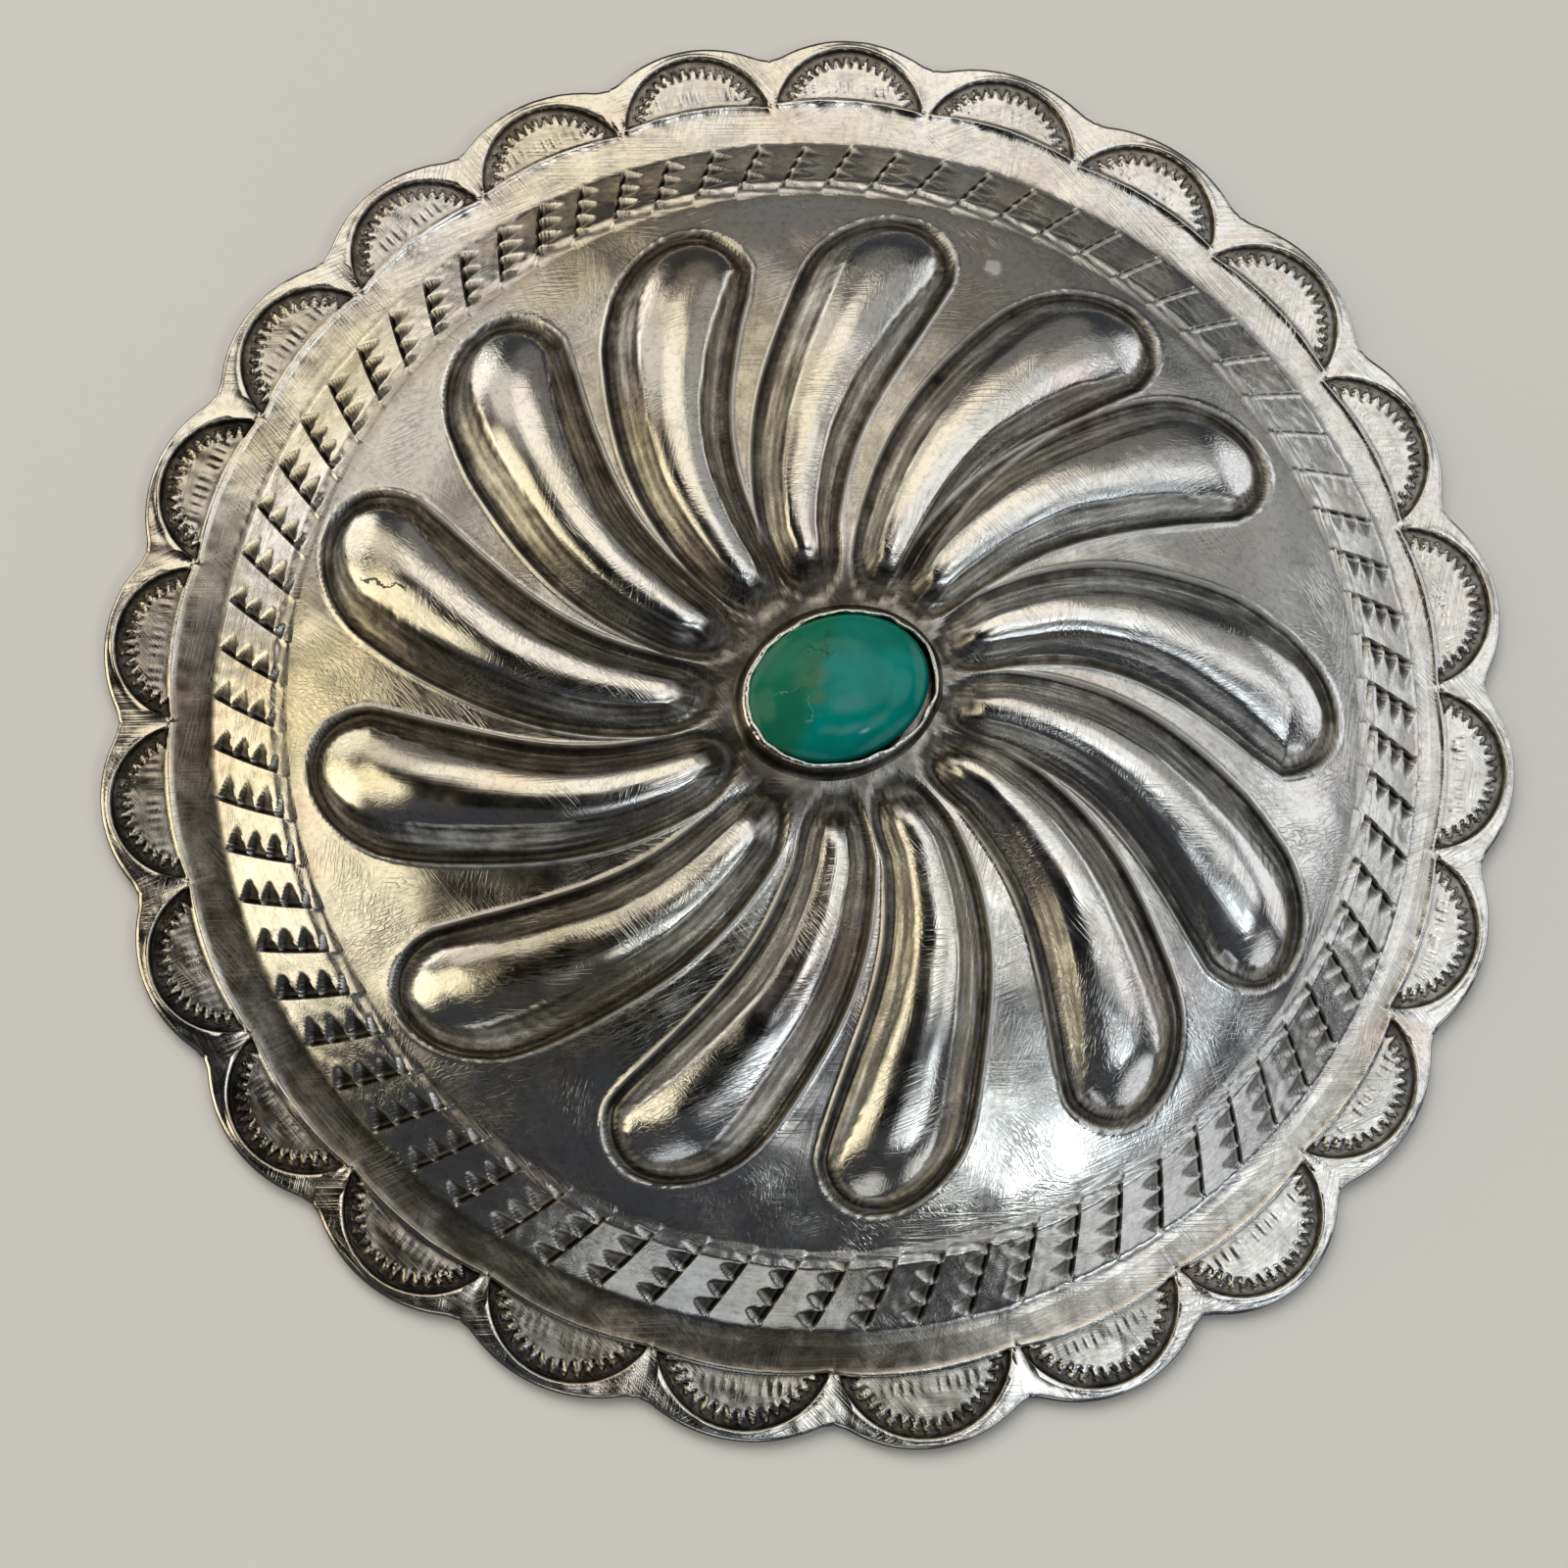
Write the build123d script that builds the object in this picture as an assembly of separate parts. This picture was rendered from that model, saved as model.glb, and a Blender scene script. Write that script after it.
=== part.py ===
from build123d import *
import math
import os

os.makedirs("parts", exist_ok=True)

# A round domed silver concho brooch: a hammered sheet with a scalloped rim, a stamped wall
# and thirteen swirling repousse lobes round an oval turquoise, with a plain pin behind.
# Millimetres and degrees, +Z out of the front, origin at the ring's centre on the back plane.

# Wall with the rope stamps, from its foot on the flat band up to its lip
sheet = 1.0  # thickness of the silver, measured along Z
lip_radius = 29.2
lip_height = 4.1
lip_width = 0.5
lip_bead = 0.12  # how far the lip stands above the sheet inside it
wall_run = 3.2  # from the lip out to the foot
foot_radius = lip_radius + wall_run
foot_fillet = 1.0
rope_count = 75
rope_start = 0.2
rope_lean = 21.0  # lean of each stamp from straight down the wall
rope_groove_width = 0.35
rope_groove_depth = 0.25
rope_groove_share = 0.82  # share of the wall's slant that a stamp covers

# Half-moon stamp in each scallop
band_width = 2.1  # plain flat silver between the wall's foot and the stamps
moon_inner_radius = foot_radius + band_width
moon_gap = 0.4  # plain silver between two neighbouring stamps
moon_margin = 0.55  # plain silver between a stamp and the scallop's edge
moon_depth = 0.3
moon_arch = 0.25  # rise of a stamp's inner edge at its middle

# Scalloped edge
scallop_count = 24
scallop_start = 2.66  # angle of the first notch
notch_reach = 2.36  # from a stamp's inner edge out to a notch
scallop_depth = 1.38
scallop_notch_radius = moon_inner_radius + notch_reach
scallop_tip_radius = scallop_notch_radius + scallop_depth

# Setting and stone
stone_length = 9.84
stone_width = 7.64
stone_girdle = 1.0
stone_rise = 1.25  # domed height above the girdle
stone_clearance = 0.08
bezel_wall = 0.3
bezel_height = 1.35
bezel_turn = 21.0  # the oval's long axis, from +X
bezel_length = stone_length + 2 * (stone_clearance + bezel_wall)
bezel_width = stone_width + 2 * (stone_clearance + bezel_wall)
seat_margin = 0.3  # flat silver round the bezel
seat_radius = bezel_length / 2 + seat_margin

# Dome from the lip up to the seat
dome_rise = 4.2
dome_bulge = 1.5  # height of the dome above a straight cone from lip to seat
dome_flattening = 0.35  # share of the bulge that is lost towards the seat
seat_height = lip_height + dome_rise
seat_cover = 0.06  # how far the seat's faces stand out of the dome's sheet
burial = 0.25  # how far the dome's sheet runs into the lip and the seat

# Swirling lobes
lobe_crown = 1.3  # height of a lobe's back above the dome
lobe_moat = 0.42  # depth of the narrow channel chased round a lobe
lobe_half_width = 3.4  # of the raised back, at its round outer end
lobe_channel_half_width = 3.9  # out to the channel's outer edge, at the same place
lobe_bulb_inset = 5.2  # from the lip in to the widest place
lobe_root_inset = 3.4  # from the seat out to where the root angle is taken
lobe_bulb_radius = lip_radius - lobe_bulb_inset
lobe_root_radius = seat_radius + lobe_root_inset
lobe_wave = 0.03  # slight S along a lobe, as a share of its turn
lobe_end_turn = 18.0  # degrees back, over a way past the widest place as long as its radius
crown_taper = 0.75  # powers by which the back, the channel and the heights shrink inwards
channel_taper = 0.6
height_taper = 0.7
crown_flatness = 2.7  # powers that give the back a broad top and straight flanks
crown_fall = 1.5
moat_hollow = 2.2

# Pin behind, one plain piece: two feet under the dome and a straight stem
pin_foot_inset = 2.3  # from the lip in to the middle of each foot
pin_foot_radius = lip_radius - pin_foot_inset
pin_offset = 12.4  # of the stem above the centre, across the stone's long axis
pin_foot_width = 1.7
pin_foot_depth = 3.0
pin_foot_low = 0.7  # height of the feet's ends above the back plane
pin_stem_radius = 0.55
pin_stem_height = 1.9  # of the stem's axis above the back plane
pin_clearance = 0.3

# Drift of the hand-set stamps round the rim: each row is a number of waves per turn, with
# its cosine and sine parts, in degrees for the angles and shares of the tips' radius for it
angle_drift = [
    {"waves": 1, "cosine": 2.06, "sine": 2.08},
    {"waves": 3, "cosine": -0.55, "sine": 0.22},
]
radius_drift = [
    {"waves": 1, "cosine": -0.0047, "sine": 0.0021},
    {"waves": 2, "cosine": -0.0065, "sine": 0.0013},
    {"waves": 3, "cosine": -0.0071, "sine": -0.0031},
]
rope_drift = [
    {"waves": 1, "cosine": 2.3, "sine": 0.53},
    {"waves": 2, "cosine": -0.55, "sine": -0.1},
]

# Scallops that were struck further out than the regular outline, or less far, in millimetres
uneven_scallops = [
    {"index": 0, "reach": 0.4},
    {"index": 3, "reach": -0.25},
    {"index": 4, "reach": -0.25},
    {"index": 7, "reach": -0.2},
    {"index": 18, "reach": 0.4},
    {"index": 19, "reach": 0.4},
    {"index": 20, "reach": 0.75},
    {"index": 23, "reach": 0.3},
]

# Lobes, anticlockwise: the angle of the round outer end and of the root, the bow of the
# middle as a share of the turn between them, and the channel's outer end and the lobe's
# root end as shares of the lip radius and the seat radius
lobes = [
    {"tip": 1.5, "root": 23.0, "bow": 0.10, "outer": 0.931, "inner": 1.12},
    {"tip": 35.0, "root": 50.0, "bow": 0.05, "outer": 0.942, "inner": 1.12},
    {"tip": 56.0, "root": 70.0, "bow": 0.11, "outer": 0.949, "inner": 1.07},
    {"tip": 83.7, "root": 102.7, "bow": -0.02, "outer": 0.938, "inner": 1.04},
    {"tip": 110.0, "root": 128.3, "bow": 0.10, "outer": 0.925, "inner": 1.09},
    {"tip": 136.3, "root": 155.0, "bow": 0.06, "outer": 0.945, "inner": 1.16},
    {"tip": 164.3, "root": 182.0, "bow": 0.06, "outer": 0.962, "inner": 1.21},
    {"tip": 191.4, "root": 209.0, "bow": 0.03, "outer": 0.945, "inner": 1.17},
    {"tip": 220.4, "root": 237.5, "bow": 0.03, "outer": 0.952, "inner": 1.21},
    {"tip": 250.5, "root": 269.0, "bow": 0.01, "outer": 0.918, "inner": 1.03},
    {"tip": 277.3, "root": 298.5, "bow": -0.04, "outer": 0.918, "inner": 1.02},
    {"tip": 309.5, "root": 329.5, "bow": 0.00, "outer": 0.925, "inner": 1.03},
    {"tip": 334.6, "root": 355.0, "bow": 0.05, "outer": 0.955, "inner": 1.06},
]

# Stations of the dome's surface: rings as shares of the way from the lip to the seat, and
# places across a lobe's back as shares of its half width
ring_shares = [
    0.0, 0.02, 0.036, 0.052, 0.068, 0.084, 0.1, 0.118, 0.138, 0.16, 0.19, 0.23, 0.28, 0.35,
    0.43, 0.52, 0.61, 0.70, 0.78, 0.85, 0.90, 0.93, 0.955, 0.978, 1.0,
]
back_shares = [0.35, 0.62, 0.82, 1.0]
widest_back = 0.72  # most that a back and a channel take of the room beside a lobe
widest_channel = 0.9


def drift(rows, angle):
    """Sum of the rows' waves at an angle."""
    return sum(
        row["cosine"] * math.cos(math.radians(row["waves"] * angle))
        + row["sine"] * math.sin(math.radians(row["waves"] * angle))
        for row in rows
    )


def notch_angle(index):
    even = index * 360 / scallop_count
    return even + scallop_start + drift(angle_drift, even)


def at(radius, angle, height=0.0):
    turn = math.radians(angle)
    return Vector(radius * math.cos(turn), radius * math.sin(turn), height)


def rim_at(radius, angle):
    """Point of the rim at a nominal radius, moved in or out with the drift of the stamps."""
    return at(radius + scallop_tip_radius * drift(radius_drift, angle), angle)


def rim():
    """The flat flange with its scalloped edge and the half-moon stamps pressed into it."""
    edges, moons = [], []
    reaches = {row["index"]: row["reach"] for row in uneven_scallops}
    inset = math.degrees(moon_gap / 2 / moon_inner_radius)
    for index in range(scallop_count):
        start, end = notch_angle(index), notch_angle(index + 1)
        middle = (start + end) / 2
        tip_radius = scallop_tip_radius + reaches.get(index, 0.0)
        edges.append(ThreePointArc(
            rim_at(scallop_notch_radius, start),
            rim_at(tip_radius, middle),
            rim_at(scallop_notch_radius, end),
        ))
        left = rim_at(moon_inner_radius, start + inset)
        right = rim_at(moon_inner_radius, end - inset)
        outer = rim_at(tip_radius - moon_margin, middle)
        inner = rim_at(moon_inner_radius + moon_arch, middle)
        moon = make_face([ThreePointArc(left, outer, right), ThreePointArc(right, inner, left)])
        moons.append(extrude(Pos(0, 0, sheet - moon_depth) * moon, sheet))
    flange = extrude(make_face(edges) - Circle(foot_radius), sheet)
    return flange - moons


def rope_groove(index):
    """One slanted stamp on the wall."""
    rise = lip_height - sheet
    slant = math.hypot(wall_run, rise)
    even = index * 360 / rope_count
    angle = even + rope_start + drift(rope_drift, even)
    outward, along = at(1, angle), at(1, angle + 90)
    down = (outward * wall_run - Vector(0, 0, rise)) * (1 / slant)
    up = (outward * rise + Vector(0, 0, wall_run)) * (1 / slant)
    lean = math.radians(rope_lean)
    spine = down * math.cos(lean) - along * math.sin(lean)
    middle = at((foot_radius + lip_radius) / 2, angle, (sheet + lip_height) / 2)
    groove = Box(slant * rope_groove_share, rope_groove_width, 2 * rope_groove_depth)
    return Plane(origin=middle, x_dir=spine, z_dir=up) * groove


def wall():
    """The stamped wall: a sloping ring from the flat band up to the lip."""
    inside = lip_radius - lip_width
    profile = make_face(Polyline(
        (foot_radius, 0), (foot_radius + foot_fillet, 0), (foot_radius + foot_fillet, sheet),
        (foot_radius, sheet), (lip_radius, lip_height), (inside, lip_height + lip_bead),
        (inside, lip_height - sheet - lip_bead), (lip_radius, lip_height - sheet),
        close=True,
    ))
    foot = profile.vertices().sort_by_distance((foot_radius, sheet))[0]
    ring = revolve(Plane.XZ * fillet(foot, foot_fillet), Axis.Z)
    return ring - [rope_groove(index) for index in range(rope_count)]


def dome_height(radius):
    """Plain height of the dome: a cone from lip to seat, raised by a round bulge."""
    start = lip_radius - lip_width
    share = min(max((start - radius) / (start - seat_radius), 0.0), 1.0)
    bulge = 4 * share * (1 - share) * (1 - dome_flattening * share)
    return lip_height + dome_rise * share + dome_bulge * bulge


def lobe_angle(row, radius):
    """Angle of a lobe's centre line at a radius."""
    share = (lobe_bulb_radius - radius) / (lobe_bulb_radius - lobe_root_radius)
    inside = min(max(share, 0.0), 1.0)
    bend = 4 * row["bow"] * inside * (1 - inside) - lobe_wave * math.sin(2 * math.pi * inside)
    past = max(radius / lobe_bulb_radius - 1, 0.0)
    return row["tip"] + (row["root"] - row["tip"]) * (inside + bend) - lobe_end_turn * past


def lobe_slant(row, radius):
    """Cosine of the angle between a lobe's centre line and the radius there."""
    step = 0.001 * lip_radius
    turn = lobe_angle(row, radius - step) - lobe_angle(row, radius + step)
    return math.cos(math.atan(math.radians(turn) / (2 * step) * radius))


def inward_share(radius):
    return min(radius, lobe_bulb_radius) / lobe_bulb_radius


def crown_width(radius):
    return lobe_half_width * inward_share(radius) ** crown_taper


def channel_width(radius):
    return lobe_channel_half_width * inward_share(radius) ** channel_taper


def lobe_relief(row, radius, angle):
    """Depth of one lobe's channel below the dome, and height of its full back above the channel."""
    turn = (angle - lobe_angle(row, radius) + 180) % 360 - 180
    across = math.radians(turn) * radius * lobe_slant(row, radius)
    bulb = row["outer"] * lip_radius - lobe_channel_half_width
    crown, channel = crown_width(radius), channel_width(radius)
    root = row["inner"] * seat_radius + crown
    past = max(radius - bulb, 0.0) + max(root - radius, 0.0)
    distance = math.hypot(across, past)
    size = (crown / lobe_half_width) ** height_taper
    share = min(max((distance - crown) / (channel - crown), 0.0), 1.0)
    back = (1 - min(distance / crown, 1.0) ** crown_flatness) ** crown_fall
    return size * lobe_moat * (1 - share ** moat_hollow), size * (lobe_crown + lobe_moat) * back


def front_height(radius, angle):
    """Height of the dome's front with its lobes."""
    channels, backs = zip(*[lobe_relief(row, radius, angle) for row in lobes])
    return dome_height(radius) - max(channels) + max(backs)


def sector_angles(index, radius):
    """Places round one lobe, from the crest before it to the crest after it."""
    here = lobe_angle(lobes[index], radius)
    before = (here - lobe_angle(lobes[index - 1], radius)) % 360 / 2
    after = (lobe_angle(lobes[(index + 1) % len(lobes)], radius) - here) % 360 / 2
    per_width = math.degrees(1 / (radius * lobe_slant(lobes[index], radius)))

    def places(room):
        back = min(crown_width(radius) * per_width, widest_back * room)
        edge = min(channel_width(radius) * per_width, widest_channel * room)
        return [back * share for share in back_shares] + [(back + edge) / 2, edge, room]

    return (
        [here - place for place in reversed(places(before))]
        + [here]
        + [here + place for place in places(after)]
    )


def ring(radius, drop):
    """Curves round the dome, one for each lobe, a given drop below the front surface."""
    curves = []
    for index in range(len(lobes)):
        points = [
            at(radius, angle, front_height(radius, angle) - drop)
            for angle in sector_angles(index, radius)
        ]
        spacing = [step / (len(points) - 1) for step in range(len(points))]
        curves.append(Edge.make_spline(points, parameters=spacing))
    return curves


def dome():
    """The lobed sheet between the lip and the seat, closed at both ends."""
    outer, inner = lip_radius - lip_width + burial, seat_radius - burial
    radii = [outer - (outer - inner) * share for share in ring_shares]
    front = [ring(radius, 0.0) for radius in radii]
    back = [ring(radius, sheet) for radius in reversed(radii)]
    chain = front + back + [front[0]]
    faces = [
        Face.make_surface_from_curves(one, other)
        for curves, next_curves in zip(chain, chain[1:])
        for one, other in zip(curves, next_curves)
    ]
    return Solid(Shell(faces))


def setting():
    """The flat seat with the oval bezel soldered on it."""
    seat = Pos(0, 0, seat_height - sheet / 2) * Cylinder(seat_radius, sheet + 2 * seat_cover)
    oval = Ellipse(bezel_length / 2, bezel_width / 2) - Ellipse(
        bezel_length / 2 - bezel_wall, bezel_width / 2 - bezel_wall
    )
    return seat + Pos(0, 0, seat_height) * Rot(0, 0, bezel_turn) * extrude(oval, bezel_height)


def turquoise():
    """Oval cabochon: a straight girdle with a domed top, standing inside the bezel."""
    girdle = extrude(Ellipse(stone_length / 2, stone_width / 2), stone_girdle)
    top = scale(Sphere(1), by=(stone_length / 2, stone_width / 2, stone_rise))
    top &= Pos(0, 0, stone_rise) * Box(2 * stone_length, 2 * stone_width, 2 * stone_rise)
    place = Pos(0, 0, seat_height + seat_cover + stone_clearance) * Rot(0, 0, bezel_turn)
    return place * (girdle + Pos(0, 0, stone_girdle) * top)


def pin_foot(angle):
    """A small upright plate whose top follows the underside of the dome."""
    reach = math.degrees(pin_foot_depth / 2 / pin_foot_radius)
    inner, outer = pin_foot_radius - pin_foot_width / 2, pin_foot_radius + pin_foot_width / 2
    tops = [
        min(front_height(radius, angle + side * reach) for side in (-1, -0.5, 0, 0.5, 1))
        - sheet - pin_clearance
        for radius in (inner, outer)
    ]
    face = make_face(Polyline(
        (inner, pin_foot_low), (outer, pin_foot_low), (outer, tops[1]), (inner, tops[0]),
        close=True,
    ))
    return Rot(0, 0, angle) * extrude(Plane.XZ * face, pin_foot_depth / 2, both=True)


def back_pin():
    """Two feet under the dome joined by a straight pin stem, as one piece."""
    spread = math.degrees(math.asin(pin_offset / pin_foot_radius))
    span = 2 * pin_foot_radius * math.cos(math.radians(spread))
    stem = Rot(0, 0, bezel_turn) * Pos(0, pin_offset, pin_stem_height) * Rot(0, 90, 0)
    feet = [pin_foot(bezel_turn + spread), pin_foot(bezel_turn + 180 - spread)]
    return stem * Cylinder(pin_stem_radius, span) + feet


plate = dome() + [rim() + wall(), setting()]

export_step(plate, "parts/concho_plate.step")
export_step(turquoise(), "parts/turquoise.step")
export_step(back_pin(), "parts/back_pin.step")
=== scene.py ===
import math

import bpy
import numpy as np
from mathutils import Matrix, Vector


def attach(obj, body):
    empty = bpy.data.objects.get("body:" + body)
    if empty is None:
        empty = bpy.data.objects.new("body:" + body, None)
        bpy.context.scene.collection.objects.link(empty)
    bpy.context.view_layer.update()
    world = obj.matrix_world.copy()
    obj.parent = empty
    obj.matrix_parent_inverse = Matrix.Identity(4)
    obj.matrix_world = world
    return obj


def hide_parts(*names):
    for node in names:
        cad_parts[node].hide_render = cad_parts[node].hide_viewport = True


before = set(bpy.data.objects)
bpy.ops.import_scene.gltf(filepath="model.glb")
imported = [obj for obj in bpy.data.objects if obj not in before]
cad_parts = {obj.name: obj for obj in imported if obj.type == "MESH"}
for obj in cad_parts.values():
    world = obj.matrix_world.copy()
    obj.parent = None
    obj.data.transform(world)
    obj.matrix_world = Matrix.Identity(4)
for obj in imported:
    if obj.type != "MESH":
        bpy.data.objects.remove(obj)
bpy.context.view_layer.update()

mm = 0.001  # shapes below are worked out in millimetres and angles in degrees
fullTurn = 2 * math.pi

# Helpers for shapes and for wear


def smoothStep(x):
    # 0 below 0, 1 above 1, and 3x^2 - 2x^3 between
    x = np.clip(x, 0, 1)
    return x * x * (3 - 2 * x)


def softMax(a, b, softness):
    # The larger of two heights, with the corner rounded over the softness
    return (a + b + np.sqrt((a - b) ** 2 + softness ** 2)) / 2


def softMin(a, b, softness):
    # The smaller of two heights, rounded in the same way
    return -softMax(-a, -b, softness)


def bell(away, width):
    # 1 at 0, falling on both sides as exp(-(away / width)^2)
    return np.exp(-(away / width) ** 2)


def waves(rows, angle):
    # Sum of cosine * cos(count * angle) + sine * sin(count * angle) over rows of count, cosine and sine
    turn = np.radians(angle)
    return sum(cosine * np.cos(count * turn) + sine * np.sin(count * turn) for count, cosine, sine in rows)


def ripple(x, y, size, seed, count=12):
    # Sum of plane waves of random direction and phase, about the given size, mostly -1 to 1
    draw = np.random.default_rng(seed)
    turns, phases = draw.uniform(0, fullTurn, (2, count))
    lengths = size * draw.uniform(0.6, 1.7, count)
    total = 0
    for turn, phase, length in zip(turns, phases, lengths):
        total = total + np.cos(fullTurn / length * (x * math.cos(turn) + y * math.sin(turn)) + phase)
    return total * math.sqrt(2 / count) * 0.7


def periodic(angles, values, where):
    # Straight lines between the named angles, joined up round the full turn
    return np.interp(np.mod(where, 360), angles, values, period=360)


def meshFrom(name, points, faces, flow=None, floats=None, sharpAngle=50):
    # points (n, 3) in millimetres; faces a list of index arrays, each of one corner count;
    # flow is a (u, v) in millimetres for each face corner; floats are named values per point
    corners = np.concatenate([f.ravel() for f in faces])
    counts = np.concatenate([np.full(len(f), f.shape[1]) for f in faces])
    mesh = bpy.data.meshes.new(name)
    mesh.vertices.add(len(points))
    mesh.vertices.foreach_set("co", (np.asarray(points) * mm).astype(np.float32).ravel())
    mesh.loops.add(len(corners))
    mesh.loops.foreach_set("vertex_index", corners.astype(np.int32))
    mesh.polygons.add(len(counts))
    mesh.polygons.foreach_set("loop_start", np.concatenate([[0], np.cumsum(counts)[:-1]]).astype(np.int32))
    mesh.update(calc_edges=True)
    if flow is not None:
        layer = mesh.uv_layers.new(name="flow")
        layer.uv.foreach_set("vector", flow.astype(np.float32).ravel())
    for key, values in (floats or {}).items():
        field = mesh.attributes.new(key, "FLOAT", "POINT")
        field.data.foreach_set("value", np.asarray(values, np.float32).ravel())
    mesh.shade_smooth()
    mesh.set_sharp_from_angle(angle=math.radians(sharpAngle))
    piece = bpy.data.objects.new(name, mesh)
    bpy.context.scene.collection.objects.link(piece)
    return piece


def ringPiece(name, points, flow, floats):
    # A closed ring: points (rows, cells, columns + 1, 3), whose rows run round its section from the
    # front inwards and back behind, and whose cells of columns run anticlockwise round the brooch.
    # A cell's last column is the next one's first, so only its flow (..., 2) is used.
    rows, cells, columns = points[:, :, 1:].shape[:3]
    around = cells * columns
    row, column = np.meshgrid(np.arange(rows), np.arange(around), indexing="ij")
    nextRow, nextColumn = (row + 1) % rows, (column + 1) % around
    faces = np.stack([
        row * around + column, nextRow * around + column,
        nextRow * around + nextColumn, row * around + nextColumn,
    ], -1).reshape(-1, 4)
    left, right = flow[:, :, :-1].reshape(rows, around, 2), flow[:, :, 1:].reshape(rows, around, 2)
    below = np.roll(left, -1, 0), np.roll(right, -1, 0)
    corners = np.stack([left, below[0], below[1], right], 2)
    floats = {key: values[:, :, :-1].reshape(-1) for key, values in floats.items()}
    return meshFrom(name, points[:, :, :-1].reshape(-1, 3), [faces], corners, floats)


def polePiece(name, rings, top, bottom, floats=None):
    # A closed skin: rings (rows, columns, 3) from the top point down to the bottom point
    rows, columns = rings.shape[:2]
    row, column = np.meshgrid(np.arange(rows - 1), np.arange(columns), indexing="ij")
    beside = (column + 1) % columns
    quads = np.stack([
        row * columns + column, (row + 1) * columns + column,
        (row + 1) * columns + beside, row * columns + beside,
    ], -1).reshape(-1, 4)
    first, second = np.arange(columns), (np.arange(columns) + 1) % columns
    last = (rows - 1) * columns
    caps = np.concatenate([
        np.stack([np.full(columns, rows * columns), first, second], -1),
        np.stack([np.full(columns, rows * columns + 1), last + second, last + first], -1),
    ])
    points = np.concatenate([rings.reshape(-1, 3), [top], [bottom]])
    return meshFrom(name, points, [quads, caps], None, floats, 60)


# The plate: plain section, shared by the pieces below

plate = {
    "sheet": 1.0, "lipRadius": 29.2, "lipWidth": 0.5, "lipHeight": 4.1, "lipBead": 0.07, "beadWidth": 0.17,
    "footRadius": 32.4, "seatRadius": 5.6, "domeRise": 4.2, "domeBulge": 1.5, "domeFlattening": 0.35,
    "footSoftness": 0.22, "lipSoftness": 0.04,
    "rimSeam": 33.15, "domeSeam": 28.35,  # where rim and wall, and wall and dome, meet
    "domeHole": 4.0, "seatLift": 0.04,  # the dome's inner edge, hidden in the bezel, and its rise there
    "hammer": 0.020, "hammerSize": 4.0,  # height and size of the planishing marks
    # The first three values on the next line paint shade on the flat band towards the lower left; the last is the
    # back's grime
    "bandShadeAngle": 224, "bandShadeReach": 70, "bandDarkening": 0.52, "backGrime": 0.45,
}
wallSlope = (plate["lipHeight"] - plate["sheet"]) / (plate["footRadius"] - plate["lipRadius"])


def plainHeight(r):
    # Flat band, then a straight wall up to the lip, then a cone with a round bulge to the seat
    inside = plate["lipRadius"] - plate["lipWidth"]
    share = np.minimum((inside - r) / (inside - plate["seatRadius"]), 1)
    bulge = 4 * share * (1 - share) * (1 - plate["domeFlattening"] * share)
    dome = plate["lipHeight"] + plate["domeRise"] * share + plate["domeBulge"] * np.maximum(bulge, 0)
    bead = plate["lipBead"] * bell(r - inside, plate["beadWidth"])
    wall = plate["sheet"] + (plate["footRadius"] - r) * wallSlope
    top = softMin(wall, dome + bead, plate["lipSoftness"])
    return np.where(r < inside - 1, dome, softMax(top, plate["sheet"], plate["footSoftness"]))


def hammered(x, y):
    # Low planishing marks all over the plate, their height * plane waves of their size
    return plate["hammer"] * ripple(x, y, plate["hammerSize"], 11, 16)


def towardsSide(angle, middle):
    # 1 towards the side of the brooch at the middle angle, 0 opposite, a cosine between
    return 0.5 + 0.5 * np.cos(np.radians(angle - middle))


def unevenGrimeAndShade(row, angle):
    # A least value, and more of it towards one side
    least, more, middle = row
    return least + more * towardsSide(angle, middle)


def bandDarkening(r, angle):
    # Painted shade: 1 on the flat band at the lower left, fading over 25 degrees at each end
    away = np.abs(np.mod(angle - plate["bandShadeAngle"] + 180, 360) - 180)
    across = smoothStep((r - 32.2) / 0.3) * smoothStep((34.75 - r) / 0.3)
    return across * smoothStep((plate["bandShadeReach"] - away) / 25)


def plan(r, angle):
    # The x and y of a radius and an angle
    turn = np.radians(angle)
    return r * np.cos(turn), r * np.sin(turn)


def place(r, angle, z):
    # The points of a radius, an angle and a height
    return np.stack(np.broadcast_arrays(*plan(r, angle), z), -1)


# Lobed dome

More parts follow.
